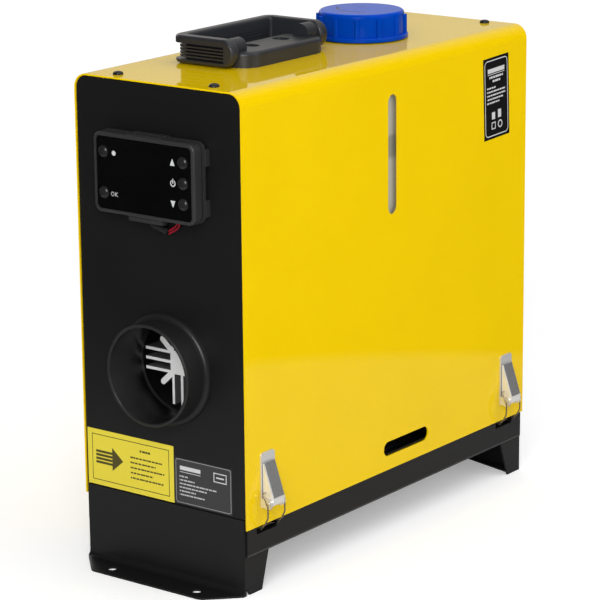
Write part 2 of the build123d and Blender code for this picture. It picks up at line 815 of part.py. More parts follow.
cap_z0 = case_top + cap_gap
cap_z1 = neck_top + cap_gasket_sheet + cap_top
with BuildPart() as cap_gasket:
    rod_z(neck_radius, neck_side, neck_y, neck_top, neck_top + cap_gasket_sheet)
    rod_z(cap_gasket_inner, neck_side, neck_y, neck_top, neck_top + cap_gasket_sheet, mode=Mode.SUBTRACT)
save(cap_gasket, "cap_gasket")

with BuildPart() as fuel_cap:
    rod_z(cap_rim_radius, neck_side, neck_y, cap_z0, cap_z0 + cap_rim_height)
    rod_z(cap_radius, neck_side, neck_y, cap_z0, cap_z1)
    fillet(fuel_cap.edges().group_by(Axis.Z)[-1], cap_edge)
    chamfer(fuel_cap.edges().filter_by(GeomType.CIRCLE).filter_by_position(
        Axis.Z, cap_z0 + cap_rim_height - 0.1, cap_z0 + cap_rim_height + 0.1
    ).sort_by(SortBy.RADIUS)[-1], 0.8)
    with Locations((neck_side, neck_y, (cap_z0 + 1 + cap_z1 - cap_rib_drop) / 2)):
        with PolarLocations(cap_radius, cap_ribs):
            Cylinder(cap_rib_radius, cap_z1 - cap_rib_drop - cap_z0 - 1)
    # hollow underside that takes the gasket and the neck
    rod_z(cap_bore, neck_side, neck_y, cap_z0, neck_top + cap_gasket_sheet, mode=Mode.SUBTRACT)
    with BuildSketch(Plane.XY.offset(cap_z1)) as turn_mark:
        with Locations((neck_side, neck_y)):
            with BuildLine():
                outer_mark = CenterArc((0, 0), 22.0, 20, 150)
                inner_mark = CenterArc((0, 0), 20.4, 20, 150)
                Line(outer_mark @ 0, inner_mark @ 0)
                Line(outer_mark @ 1, inner_mark @ 1)
            make_face()
    extrude(amount=-0.5, mode=Mode.SUBTRACT)
save(fuel_cap, "fuel_cap")

# ------------------------------------------------------------------ heater unit
exchanger_y0 = place(exchanger_front)
exchanger_y1 = exchanger_y0 + exchanger_length
housing_y1 = exchanger_y1 + housing_length
foot_y0 = exchanger_y1 - foot_length
exhaust_y = place(exhaust_place)
inlet_y = place(inlet_place)
gasket_bottom = gasket_top - gasket_sheet
stand_half = stand_width / 2
motor_y1 = housing_y1 + motor_length
fuel_y = place(120)
fuel_z = outlet_height - 33
foot_x = (outlet_side - foot_width / 2, outlet_side + foot_width / 2)

with BuildPart() as heater_stand:
    stand_y = (foot_y0 - 9, housing_y1 + 6)
    block(
        outlet_side - stand_half, outlet_side + stand_half, *stand_y,
        gasket_bottom - stand_sheet, gasket_bottom,
    )
    for side in sides.values():
        wall = sorted((outlet_side + side * stand_half, outlet_side + side * (stand_half - stand_sheet)))
        flange = sorted((outlet_side + side * stand_half, outlet_side + side * (stand_half + 9)))
        block(*wall, *stand_y, case_bottom, gasket_bottom)
        block(*flange, *stand_y, case_bottom, case_bottom + stand_sheet)
    for pipe_radius, pipe_y in ((exhaust_radius, exhaust_y), (inlet_radius, inlet_y)):
        rod_z(
            pipe_radius + 0.5, outlet_side, pipe_y,
            gasket_bottom - stand_sheet, gasket_bottom, mode=Mode.SUBTRACT,
        )
save(heater_stand, "heater_stand")

with BuildPart() as heater_gasket:
    block(foot_x[0] - 6, foot_x[1] + 6, foot_y0 - 6, housing_y1 + 4, gasket_bottom, gasket_top)
    for pipe_radius, pipe_y in ((exhaust_radius, exhaust_y), (inlet_radius, inlet_y)):
        rod_z(pipe_radius + touch_gap, outlet_side, pipe_y, gasket_bottom, gasket_top, mode=Mode.SUBTRACT)
save(heater_gasket, "heater_gasket")


def shell_half(up):
    """Upper (up = 1) or lower (up = -1) half of the heater's plastic shell."""
    with BuildPart() as shell:
        with BuildSketch(Plane.XZ.offset(-shell_y0)):
            with Locations((outlet_side, outlet_height)):
                RectangleRounded(shell_width, shell_height, shell_corner)
        extrude(amount=-(shell_y1 - shell_y0))
        with BuildSketch(Plane.XZ.offset(-(shell_y0 + shell_wall))):
            with Locations((outlet_side, outlet_height)):
                RectangleRounded(
                    shell_width - 2 * shell_wall, shell_height - 2 * shell_wall, shell_corner - shell_wall
                )
        extrude(amount=-(shell_y1 - shell_y0 - 2 * shell_wall), mode=Mode.SUBTRACT)
        front_bore = outlet_radius - outlet_wall
        rod_y(front_bore, outlet_side, shell_y0, shell_y0 + shell_wall, outlet_height, mode=Mode.SUBTRACT)
        rod_y(fan_radius + 2, outlet_side, shell_y1 - shell_wall, shell_y1, outlet_height, mode=Mode.SUBTRACT)
        block(
            foot_x[0] - 0.5, foot_x[1] + 0.5, foot_y0 - 0.5, housing_y1 + 0.5, gasket_top,
            gasket_top + shell_wall, mode=Mode.SUBTRACT,
        )
        rod_x(nipple_radius + 0.6, outlet_side - shell_width / 2, outlet_side - shell_width / 2 + shell_wall,
              fuel_y, fuel_z, mode=Mode.SUBTRACT)
        split = outlet_height - up * shell_height / 2
        block(
            outlet_side - shell_width, outlet_side + shell_width, shell_y0 - 1, shell_y1 + 1,
            *sorted((outlet_height, split - up * 1)), mode=Mode.SUBTRACT,
        )
    return shell


heater_shell_lower = shell_half(-1)
save(heater_shell_lower, "heater_shell_lower")
heater_shell_upper = shell_half(1)
save(heater_shell_upper, "heater_shell_upper")

core_half = core_width / 2
core_bore = core_half - 3.0
plug_y = exchanger_y1 - 10
plug_x = outlet_side + fin_pitch / 2
fin_side = shell_width / 2 - shell_wall - fin_end_gap
fin_up = shell_height / 2 - shell_wall - fin_end_gap
with BuildPart() as heat_exchanger:
    # front end, seen through the outlet: hub, short fins and four slanting arms
    hub_y1 = exchanger_y0 + hub_length
    with BuildSketch(Plane.XZ.offset(-exchanger_y0)):
        with Locations((outlet_side, outlet_height)):
            RectangleRounded(hub_width, hub_height, 4.0)
            with PolarLocations(0, 1):
                for rise in (-fin_pitch, 0, fin_pitch):
                    with Locations((0, rise)):
                        Rectangle(67.0, fin_sheet)
                for spread in (-8.0, 0, 8.0):
                    with Locations((spread, 0)):
                        Rectangle(fin_sheet, 63.0)
                for turn in (42, 138, 222, 318):
                    arm = math.radians(turn)
                    with Locations(Location(
                        (arm_length / 2 * math.cos(arm), arm_length / 2 * math.sin(arm)), turn
                    )):
                        SlotOverall(arm_length + 4, arm_width)
    extrude(amount=-(hub_length + 0.01))
    # core tube with its fins
    with BuildSketch(Plane.XZ.offset(-hub_y1)):
        with Locations((outlet_side, outlet_height)):
            RectangleRounded(core_width, core_height, core_corner)
            for index in range(-3, 4):
                with Locations((0, index * fin_pitch)):
                    Rectangle(2 * fin_side, fin_sheet)
                with Locations((index * fin_pitch, 0)):
                    Rectangle(fin_sheet, 2 * fin_up)
    extrude(amount=-(exchanger_length - hub_length))
    block(*foot_x, foot_y0, exchanger_y1, gasket_top, outlet_height)
    rod_y(core_bore, outlet_side, hub_y1 + 6, exchanger_y1, outlet_height, mode=Mode.SUBTRACT)
    rod_z(exhaust_radius - exhaust_wall, outlet_side, exhaust_y, gasket_top, outlet_height - core_bore + 4,
          mode=Mode.SUBTRACT)
    rod_z(
        exhaust_radius + press_clearance, outlet_side, exhaust_y,
        gasket_top, gasket_top + 14, mode=Mode.SUBTRACT,
    )
    rod_z(
        plug_radius + 3.5, plug_x, plug_y,
        outlet_height + core_half, outlet_height + fin_up + 1, mode=Mode.SUBTRACT,
    )
    rod_z(plug_radius + press_clearance, plug_x, plug_y, outlet_height + 10, outlet_height + core_half + 1,
          mode=Mode.SUBTRACT)
    with BuildLine() as fuel_run:
        FilletPolyline(
            (outlet_side - core_half - 1, fuel_y, fuel_z), (-line_side, fuel_y, fuel_z),
            (-line_side, fuel_y, fuel_z - 18), radius=6.0,
        )
    with BuildSketch(Plane(origin=fuel_run.line @ 0, z_dir=fuel_run.line % 0)):
        Circle(nipple_radius)
    sweep()
save(heat_exchanger, "heat_exchanger")

with BuildPart() as burner_tube:
    burner_y0 = exchanger_y1 - burner_length
    rod_y(burner_radius, outlet_side, burner_y0, exchanger_y1, outlet_height)
    rod_y(core_bore - hole_clearance, outlet_side, exchanger_y1 - 3, exchanger_y1, outlet_height)
    rod_y(
        burner_radius - burner_wall, outlet_side, burner_y0, exchanger_y1, outlet_height, mode=Mode.SUBTRACT,
    )
    rod_z(plug_radius + touch_gap, plug_x, plug_y, outlet_height, outlet_height + burner_radius + 1,
          mode=Mode.SUBTRACT)
save(burner_tube, "burner_tube")

with BuildPart() as glow_plug:
    plug_z1 = outlet_height + core_half
    rod_z(plug_radius, plug_x, plug_y, plug_z1 - plug_length + 10, plug_z1)
    with BuildSketch(Plane.XY.offset(plug_z1)):
        with Locations((plug_x, plug_y)):
            RegularPolygon(plug_radius + 2.4, 6)
    extrude(amount=5)
    rod_z(plug_radius - 0.5, plug_x, plug_y, plug_z1 + 5, plug_z1 + 14)
save(glow_plug, "glow_plug")

with BuildPart() as blower_housing:
    with BuildSketch(Plane.XZ.offset(-exchanger_y1)):
        with Locations((outlet_side, outlet_height)):
            RectangleRounded(2 * housing_half, 2 * housing_half, 12)
    extrude(amount=-housing_length)
    block(*foot_x, exchanger_y1, housing_y1, gasket_top, outlet_height)
    rod_y(
        chamber_radius, outlet_side, housing_y1 - chamber_depth,
        housing_y1, outlet_height, mode=Mode.SUBTRACT,
    )
    rod_y(core_bore - 3, outlet_side, exchanger_y1, exchanger_y1 + 24, outlet_height, mode=Mode.SUBTRACT)
    rod_y(9, outlet_side, exchanger_y1, housing_y1, outlet_height, mode=Mode.SUBTRACT)
    rod_z(inlet_radius - inlet_wall, outlet_side, inlet_y, gasket_top, gasket_top + 24, mode=Mode.SUBTRACT)
    rod_z(
        inlet_radius + press_clearance, outlet_side, inlet_y, gasket_top, gasket_top + 14, mode=Mode.SUBTRACT,
    )
    # passage from the inlet pipe to the fan chamber
    block(outlet_side - 8, outlet_side + 8, inlet_y - 8, housing_y1 - chamber_depth + 1,
          gasket_top + 18, outlet_height - chamber_radius + 7, mode=Mode.SUBTRACT)
save(blower_housing, "blower_housing")

shaft_y0 = housing_y1 - chamber_depth + 1
shaft_y1 = motor_y1 + fan_depth + 6
with BuildPart() as blower_motor:
    rod_y(housing_half - 1, outlet_side, housing_y1, housing_y1 + 4, outlet_height)
    rod_y(motor_radius, outlet_side, housing_y1 + 4, motor_y1, outlet_height)
    rear_rim = blower_motor.edges().filter_by(GeomType.CIRCLE).group_by(Axis.Y)[-1]
    fillet(rear_rim, 2.5)
    rod_y(
        shaft_radius + running_clearance, outlet_side, housing_y1,
        motor_y1, outlet_height, mode=Mode.SUBTRACT,
    )
save(blower_motor, "blower_motor")

with BuildPart() as rotor_shaft:
    rod_y(shaft_radius, outlet_side, shaft_y0, shaft_y1, outlet_height)
    chamfer(rotor_shaft.edges().filter_by(GeomType.CIRCLE), 0.4)
save(rotor_shaft, "rotor_shaft")


def bladed_wheel(hub_radius, tip_radius, blades, blade_sheet, y0, y1):
    """A hub with straight blades on the blower's shaft."""
    with BuildPart() as wheel:
        rod_y(hub_radius, outlet_side, y0, y1, outlet_height)
        with Locations(Location((outlet_side, y1, outlet_height), (90, 0, 0))):
            with PolarLocations(0, blades):
                with Locations(Location(((hub_radius + tip_radius) / 2, 0, (y1 - y0) / 2), (28, 0, 0))):
                    Box(tip_radius - hub_radius + 2, blade_sheet, 0.8 * (y1 - y0))
        rod_y(shaft_radius + press_clearance, outlet_side, y0, y1, outlet_height, mode=Mode.SUBTRACT)
    return wheel


blower_fan = bladed_wheel(
    fan_hub_radius, fan_radius - 1, fan_blades, 2.0, motor_y1 + 5, motor_y1 + 5 + fan_depth,
)
save(blower_fan, "blower_fan")
side_fan_y0 = shaft_y0 + 1
combustion_fan = bladed_wheel(10.0, side_fan_radius, side_fan_blades, 1.6, side_fan_y0, housing_y1 - 2)
save(combustion_fan, "combustion_fan")

with BuildPart() as exhaust_pipe:
    rod_z(exhaust_radius, outlet_side, exhaust_y, pipe_bottom, gasket_top + 14)
    rod_z(exhaust_radius + pipe_shoulder, outlet_side, exhaust_y, tray_under, gasket_top - gasket_sheet)
    rod_z(
        exhaust_radius - exhaust_wall, outlet_side, exhaust_y,
        pipe_bottom, gasket_top + 14, mode=Mode.SUBTRACT,
    )
save(exhaust_pipe, "exhaust_pipe")

with BuildPart() as combustion_inlet_pipe:
    rod_z(inlet_radius, outlet_side, inlet_y, pipe_bottom, gasket_top + 14)
    rod_z(inlet_radius + pipe_shoulder, outlet_side, inlet_y, tray_under, gasket_top - gasket_sheet)
    rod_z(inlet_radius - inlet_wall, outlet_side, inlet_y, pipe_bottom, gasket_top + 14, mode=Mode.SUBTRACT)
save(combustion_inlet_pipe, "combustion_inlet_pipe")

with BuildPart() as control_unit:
    unit_z0 = outlet_height + housing_half
    block(outlet_side - 30, outlet_side + 30, exchanger_y1 + 6, exchanger_y1 + 46, unit_z0, unit_z0 + 16)
    fillet(control_unit.edges().filter_by(Axis.Z), 3.0)
    for index in range(4):
        rib_gap = (exchanger_y1 + 10 + 9 * index, exchanger_y1 + 15 + 9 * index)
        block(outlet_side + 12, outlet_side + 26, *rib_gap, unit_z0 + 12, unit_z0 + 16, mode=Mode.SUBTRACT)
save(control_unit, "control_unit")

# ------------------------------------------------------------------ fuel line
line_x = -line_side
filter_z0 = filter_height
filter_z1 = filter_height + filter_length
pump_z = case_bottom + pump_height
pump_y0 = place(pump_place)
pump_y1 = pump_y0 + pump_length
nipple_reach = 10.0

with BuildPart() as fuel_filter:
    rod_z(filter_radius, line_x, filter_y, filter_z0, filter_z1)
    fillet(fuel_filter.edges().filter_by(GeomType.CIRCLE), 2.0)
    rod_z(nipple_radius, line_x, filter_y, filter_z0 - nipple_reach, filter_z1 + nipple_reach)
    rod_z(filter_radius - 1.5, line_x, filter_y, filter_z0 + 2, filter_z1 - 2, mode=Mode.SUBTRACT)
    rod_z(
        nipple_radius / 2, line_x, filter_y,
        filter_z0 - nipple_reach, filter_z1 + nipple_reach, mode=Mode.SUBTRACT,
    )
save(fuel_filter, "fuel_filter")

plunger_y0 = (pump_y0 + pump_y1 - plunger_length - plunger_stroke) / 2
with BuildPart() as fuel_pump:
    rod_y(pump_radius, line_x, pump_y0, pump_y1, pump_z)
    fillet(fuel_pump.edges().filter_by(GeomType.CIRCLE), 1.5)
    rod_y(nipple_radius, line_x, pump_y0 - nipple_reach, pump_y1 + nipple_reach, pump_z)
    rod_y(
        nipple_radius / 2, line_x, pump_y0 - nipple_reach, pump_y1 + nipple_reach, pump_z, mode=Mode.SUBTRACT,
    )
    rod_y(plunger_radius + running_clearance, line_x, plunger_y0 - touch_gap,
          plunger_y0 + plunger_length + plunger_stroke + touch_gap, pump_z, mode=Mode.SUBTRACT)
save(fuel_pump, "fuel_pump")

with BuildPart() as pump_plunger:
    rod_y(plunger_radius, line_x, plunger_y0, plunger_y0 + plunger_length, pump_z)
    rod_y(nipple_radius / 2, line_x, plunger_y0, plunger_y0 + plunger_length, pump_z, mode=Mode.SUBTRACT)
save(pump_plunger, "pump_plunger")

with BuildPart() as pump_clamp:
    clamp_y = ((pump_y0 + pump_y1 - clamp_width) / 2, (pump_y0 + pump_y1 + clamp_width) / 2)
    rod_y(pump_radius + clamp_sheet, line_x, *clamp_y, pump_z)
    block(line_x - 4, line_x + 10, *clamp_y, case_bottom, pump_z - pump_radius)
    rod_y(pump_radius + press_clearance, line_x, *clamp_y, pump_z, mode=Mode.SUBTRACT)
save(pump_clamp, "pump_clamp")

# Three hoses on the tank, filter, pump and heater nipples; they run in one plane.
hose_routes = [
    [(line_x, filter_y, shelf_top - 3), (line_x, filter_y, filter_z1 + 1)],
    [(line_x, filter_y, filter_z0 - 1), (line_x, filter_y, pump_z), (line_x, pump_y1 + 1, pump_z)],
    [(line_x, pump_y0 - 1, pump_z), (line_x, fuel_y, pump_z), (line_x, fuel_y, fuel_z - 8)],
]


def hose(points):
    """A hose along a route of straight runs and round bends, open at both ends."""
    with BuildPart() as tube:
        with BuildLine() as route:
            if len(points) == 2:
                Line(*points)
            else:
                FilletPolyline(*points, radius=min(corner_radii(points)))
        with BuildSketch(Plane(origin=route.line @ 0, z_dir=route.line % 0)):
            Circle(hose_radius)
            Circle(nipple_radius + press_clearance, mode=Mode.SUBTRACT)
        sweep()
    return tube


with BuildPart() as fuel_hoses:
    for points in hose_routes:
        add(hose(points).part)
        print("hose bend radii:", [round(radius, 1) for radius in corner_radii(points)])
save(fuel_hoses, "fuel_hoses")

# ------------------------------------------------------------------ controller
bezel_y0 = y_front - bezel_reach
bezel_y1 = bezel_y0 + bezel_depth
window_y0 = bezel_y0 + window_recess
window_y1 = window_y0 + window_sheet
window_width = bezel_width - 2 * bezel_border
window_height = bezel_height - 2 * bezel_border
shell_wall_thin = 1.8
board_y0 = bezel_y1 - board_sheet - 1.2
button_left = button_inset_left - bezel_width / 2
button_right = bezel_width / 2 - button_inset_right
button_rise = bezel_height / 2 - button_inset_top
button_places = {
    "menu_button": (button_left, button_rise),
    "ok_button": (button_left, -button_rise),
    "up_button": (button_right, button_rise),
    "power_button": (button_right, 0),
    "down_button": (button_right, -button_rise),
}

with BuildPart() as controller_bezel:
    with BuildSketch(Plane.XZ.offset(-bezel_y0)):
        with Locations((controller_side, controller_z)):
            RectangleRounded(bezel_width, bezel_height, bezel_corner)
    extrude(amount=-bezel_depth)
    fillet(controller_bezel.edges().group_by(Axis.Y)[0], 1.6)
    with BuildSketch(Plane.XZ.offset(-bezel_y0)):
        with Locations((controller_side, controller_z)):
            RectangleRounded(window_width, window_height, bezel_corner - bezel_border)
    extrude(amount=-(window_recess + window_sheet), mode=Mode.SUBTRACT)
    with BuildSketch(Plane.XZ.offset(-window_y1)):
        with Locations((controller_side, controller_z)):
            Rectangle(bezel_width - 4.0, window_height - 3.0)
    extrude(amount=-(bezel_y1 - window_y1), mode=Mode.SUBTRACT)
    # finger tabs above and below the frame
    tab_y = bezel_y0 + bezel_tab_front
    for tab_end, tab_reach in ((1, bezel_tab_rise), (-1, bezel_tab_drop)):
        tab_edge = controller_z + tab_end * (bezel_height / 2 - 1)
        tab = sorted((tab_edge, tab_edge + tab_end * (tab_reach + 1)))
        block(controller_side + bezel_tab[0], controller_side + bezel_tab[1],
              tab_y, tab_y + bezel_tab_sheet, *tab)
save(controller_bezel, "controller_bezel")

with BuildPart() as display_window:
    with BuildSketch(Plane.XZ.offset(-window_y0)):
        with Locations((controller_side, controller_z)):
            RectangleRounded(window_width - 0.1, window_height - 0.1, bezel_corner - bezel_border)
            for button_x, button_z in button_places.values():
                with Locations((button_x, button_z)):
                    Circle(button_radius + touch_gap, mode=Mode.SUBTRACT)
    extrude(amount=-window_sheet)
save(display_window, "display_window")

for button_name, (button_x, button_z) in button_places.items():
    with BuildPart() as button:
        centre_x = controller_side + button_x
        centre_z = controller_z + button_z
        rod_y(button_radius, centre_x, window_y0 - button_proud, window_y1 + touch_gap + 1, centre_z)
        fillet(button.edges().filter_by(GeomType.CIRCLE).group_by(Axis.Y)[0], button_round)
        rod_y(
            button_radius + button_flange, centre_x, window_y1 + touch_gap,
            window_y1 + touch_gap + 1.2, centre_z,
        )
        rod_y(1.6, centre_x, window_y1 + touch_gap, board_y0 - button_travel - touch_gap, centre_z)
    save(button, button_name)

with BuildPart() as controller_board:
    with BuildSketch(Plane.XZ.offset(-board_y0)):
        with Locations((controller_side, controller_z)):
            Rectangle(window_width - 1.4, window_height - 3.2)
    extrude(amount=-board_sheet)
    # display module behind the window
    block(
        controller_side - window_width / 2 + 18.8, controller_side + window_width / 2 - 22.8,
        window_y1, board_y0,
        controller_z - window_height / 2 + 6.8, controller_z + window_height / 2 - 6.8,
    )
save(controller_board, "controller_board")

# Rear shell: a box behind the bezel, with a bracket plate and clip strips on the panel.
lead_in = (controller_side + 22.5, controller_z - bezel_height / 2 + 4)
shell_wide = bezel_width - 2 * shell_step
shell_high = bezel_height - 2 * shell_step
with BuildPart() as controller_rear_shell:
    with BuildSketch(Plane.XZ.offset(-bezel_y1)):
        with Locations((controller_side, controller_z)):
            RectangleRounded(shell_wide, shell_high, bezel_corner - shell_step)
    extrude(amount=-(panel_face - bezel_y1))
    with BuildSketch(Plane.XZ.offset(-(bezel_y1 + 2.0))):
        with Locations((controller_side, controller_z)):
            RectangleRounded(bezel_width + 0.6, bezel_height + 0.6, bezel_corner)
            RectangleRounded(shell_wide - 1, shell_high - 1, bezel_corner - shell_step, mode=Mode.SUBTRACT)
    extrude(amount=-2.4)
    with BuildSketch(Plane.XZ.offset(-bezel_y1)):
        with Locations((controller_side, controller_z)):
            RectangleRounded(shell_wide - 2 * shell_wall_thin, shell_high - 2 * shell_wall_thin, 2.0)
    extrude(amount=-(panel_face - bezel_y1 - shell_wall_thin), mode=Mode.SUBTRACT)
    # clip strips above and below, and hooks on the sides
    for strip_end, strip_drop in ((1, clip_strip_top), (-1, clip_strip_low)):
        strip_edge = controller_z + strip_end * (bezel_height / 2 - 1)
        strip = sorted((strip_edge, strip_edge + strip_end * (strip_drop + 1)))
        block(controller_side + bezel_tab[0], controller_side + bezel_tab[1],
              bezel_y1 + touch_gap, bezel_y1 + 4.0, *strip)
    for hook_side in sides.values():
        for hook_z in (-18.0, 18.0):
            hook = sorted((
                controller_side + hook_side * (bezel_width / 2 - 1),
                controller_side + hook_side * (bezel_width / 2 + 2.0),
            ))
            block(*hook, bezel_y1 + 3.0, panel_face, controller_z + hook_z - 6, controller_z + hook_z + 6)
    rod_z(
        sleeve_radius + 0.8, lead_in[0], bezel_y1 + 3.4, controller_z - bezel_height / 2 - 1,
        controller_z - bezel_height / 2 + 6, mode=Mode.SUBTRACT,
    )
save(controller_rear_shell, "controller_rear_shell")

# Leads of the controller: two wires leave the shell at the bottom, bend round and go
# into a sleeve that turns back and enters the panel.
lead_y = bezel_y1 + 3.4
lead_low = controller_z - 39.4
sleeve_start = (controller_side + 12.0, lead_y, lead_low + 0.4)
with BuildPart() as lead_sleeve:
    sleeve_points = [
        sleeve_start, (lead_hole_x, lead_y - 1.0, lead_hole_z), (lead_hole_x, panel_back + 6.0, lead_hole_z),
    ]
    with BuildLine() as sleeve_route:
        FilletPolyline(*sleeve_points, radius=min(corner_radii(sleeve_points)))
    with BuildSketch(Plane(origin=sleeve_route.line @ 0, z_dir=sleeve_route.line % 0)):
        Circle(sleeve_radius)
    sweep()
    print("sleeve bend radii:", [round(radius, 1) for radius in corner_radii(sleeve_points)])
save(lead_sleeve, "lead_sleeve")


def lead_wire(offset):
    """One wire from inside the shell to the mouth of the sleeve."""
    with BuildPart() as wire:
        wire_points = [
            (lead_in[0] + offset, lead_y, controller_z - bezel_height / 2 + 9),
            (lead_in[0] + offset, lead_y, controller_z - 33.5 - offset),
            (sleeve_start[0] + 0.9, lead_y, sleeve_start[2] - 0.25 - 1.2 * offset),
        ]
        with BuildLine() as wire_route:
            FilletPolyline(*wire_points, radius=min(corner_radii(wire_points)))
        with BuildSketch(Plane(origin=wire_route.line @ 0, z_dir=wire_route.line % 0)):
            Circle(wire_radius)
        sweep()
        print("wire bend radii:", [round(radius, 1) for radius in corner_radii(wire_points)])
    return wire


with BuildPart() as lead_wires:
    for offset in (-wire_radius - 0.1, wire_radius + 0.1):
        add(lead_wire(offset).part)
save(lead_wires, "lead_wires")

# ------------------------------------------------------------------ toggle latches
bail_pin_place = (latch_pivot_out + bail_pin_out, latch_pivot_height + bail_pin_up)
lever_line_top = (2.5, latch_pivot_height + 29.5)
lever_line_low = (10.9, latch_pivot_height + 4.4)
lever_nose = (9.8, latch_pivot_height - 0.9)


def latch_plane(side, latch_y):
    """Plane of a latch seen from its end: x outwards from the wall, y up."""
    return Plane(origin=(side * half_width, latch_y, 0), x_dir=(side, 0, 0), z_dir=(0, -side, 0))


def latch_plate(side, latch_y):
    """Riveted back plate with two ears that carry the lever's pin."""
    with BuildPart() as plate:
        outer = sorted((side * half_width, side * (half_width + latch_plate_sheet)))
        block(*outer, latch_y - latch_plate_half, latch_y + latch_plate_half,
              latch_pivot_height - latch_plate_foot, latch_pivot_height + latch_plate_top)
        fillet(plate.edges().filter_by(Axis.X).group_by(Axis.Z)[-1], 3.0)
        for ear_side in (1, -1):
            ear_y = ear_side * (latch_plate_half - latch_plate_sheet / 2)
            with BuildSketch(Plane.XZ.offset(-(latch_y + ear_y + latch_plate_sheet / 2))):
                with Locations((side * (half_width + latch_pivot_out), latch_pivot_height)):
                    Circle(latch_ear_radius)
                with Locations((side * (half_width + latch_pivot_out / 2), latch_pivot_height + 0.2)):
                    Rectangle(latch_pivot_out, 2 * (latch_ear_radius - 0.4))
            extrude(amount=latch_plate_sheet)
        pin_x = side * (half_width + latch_pivot_out)
        rod_y(latch_pin_radius + press_clearance, pin_x, latch_y - latch_plate_half - 1,
              latch_y + latch_plate_half + 1, latch_pivot_height, mode=Mode.SUBTRACT)
        for rivet_z in rivet_heights:
            rod_x(rivet_radius + press_clearance, *outer, latch_y, rivet_z, mode=Mode.SUBTRACT)
    return plate


def latch_lever(side, latch_y):
    """Over-centre lever: a channel that turns on the pin and pulls the bail."""
    top = Vector(*lever_line_top)
    low = Vector(*lever_line_low)
    along = (low - top).normalized()
    outward = Vector(-along.Y, along.X)
    inner_top = top - outward * lever_sheet - along * 6
    inner_low = low - outward * lever_sheet
    pivot = (latch_pivot_out, latch_pivot_height)
    with BuildPart() as lever:
        with BuildSketch(latch_plane(side, latch_y)) as outline:
            with BuildLine():
                Polyline(
                    (lever_line_top[0] - 1.1, lever_line_top[1]), lever_line_top, lever_line_low, lever_nose,
                    (pivot[0] + 1.6, pivot[1] - 3.9), (pivot[0] - 1.6, pivot[1] - 3.9),
                    (pivot[0] - 3.9, pivot[1] - 0.8), (bail_pin_place[0] - 2.0, bail_pin_place[1] - 1.6),
                    (bail_pin_place[0] - 2.0, bail_pin_place[1] + 2.0), close=True,
                )
            make_face()
            fillet(outline.vertices().group_by(Axis.Y)[0], 0.5)
        extrude(amount=lever_half, both=True)
        # the long bends between the web and its two sides
        web_middle = (top + low) / 2
        web_edges = []
        for edge_side in (1, -1):
            bend = Vector(side * (half_width + web_middle.X), latch_y + edge_side * lever_half, web_middle.Y)
            web_edges.append(lever.edges().sort_by_distance(bend)[0])
        fillet(web_edges, lever_bend)
        with BuildSketch(latch_plane(side, latch_y)):
            with BuildLine():
                Polyline(
                    (inner_top.X, inner_top.Y), (inner_low.X, inner_low.Y),
                    (lever_nose[0] - lever_sheet, lever_nose[1]), (lever_nose[0] + 4, lever_nose[1] - 1.5),
                    (lever_nose[0] + 4, latch_pivot_height - 12), (-12, latch_pivot_height - 12),
                    (-12, inner_top.Y), close=True,
                )
            make_face()
        extrude(amount=lever_half - lever_sheet, both=True, mode=Mode.SUBTRACT)
        for hole, radius in ((pivot, latch_pin_radius), (bail_pin_place, bail_radius)):
            rod_y(radius + running_clearance, side * (half_width + hole[0]), latch_y - lever_half,
                  latch_y + lever_half, hole[1], mode=Mode.SUBTRACT)
    return lever


def latch_bail(side, latch_y):
    """Wire bail: its two ends sit in the lever and its cross bar hooks into the base."""
    half = []
    for out, width, up in (
        (bail_pin_place[0], lever_half - lever_sheet - 0.6, bail_pin_place[1]),
        (bail_pin_place[0], bail_half, bail_pin_place[1]),
        (bail_bow, bail_half, bail_pin_place[1] - 9), (bail_bow, bail_half, case_bottom + bail_bend_high),
        (bail_bow - 2.6, bail_half, case_bottom + bail_bend_low),
        (1.4, bail_half, case_bottom - 1.9), (hook_depth, bail_half, case_bottom - 3.2),
    ):
        half.append((side * (half_width + out), latch_y + width, up))
    points = half + [(x, 2 * latch_y - y, z) for x, y, z in reversed(half)]
    with BuildPart() as bail:
        with BuildLine() as route:
            FilletPolyline(*points, radius=1.5)
        with BuildSketch(Plane(origin=route.line @ 0, z_dir=route.line % 0)):
            Circle(bail_radius)
        sweep()
    return bail


with BuildPart() as latch_plates:
    for side in sides.values():
        for latch_y in latch_places.values():
            add(latch_plate(side, latch_y).part)
save(latch_plates, "latch_plates")

for end_name, latch_y in latch_places.items():
    for side_name, side in sides.items():
        lever = latch_lever(side, latch_y)
        save(lever, f"latch_lever_{end_name}_{side_name}")
        bail = latch_bail(side, latch_y)
        save(bail, f"latch_bail_{end_name}_{side_name}")

# Blind rivets that hold the latch plates to the cover.
with BuildPart() as rivets:
    for side in sides.values():
        for latch_y in latch_places.values():
            for rivet_z in rivet_heights:
                shank = sorted((side * (inner_half - 1.5), side * (half_width + latch_plate_sheet)))
                head = sorted(
                    (side * (half_width + latch_plate_sheet), side * (half_width + latch_plate_sheet + 0.8)),
                )
                back = sorted((side * (inner_half - 1.5), side * inner_half))
                rod_x(rivet_radius, *shank, latch_y, rivet_z)
                rod_x(rivet_head, *head, latch_y, rivet_z)
                rod_x(rivet_head, *back, latch_y, rivet_z)
save(rivets, "rivets")
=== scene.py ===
import json
import math
from functools import reduce

import bpy
import numpy as np
from mathutils import Matrix, Vector


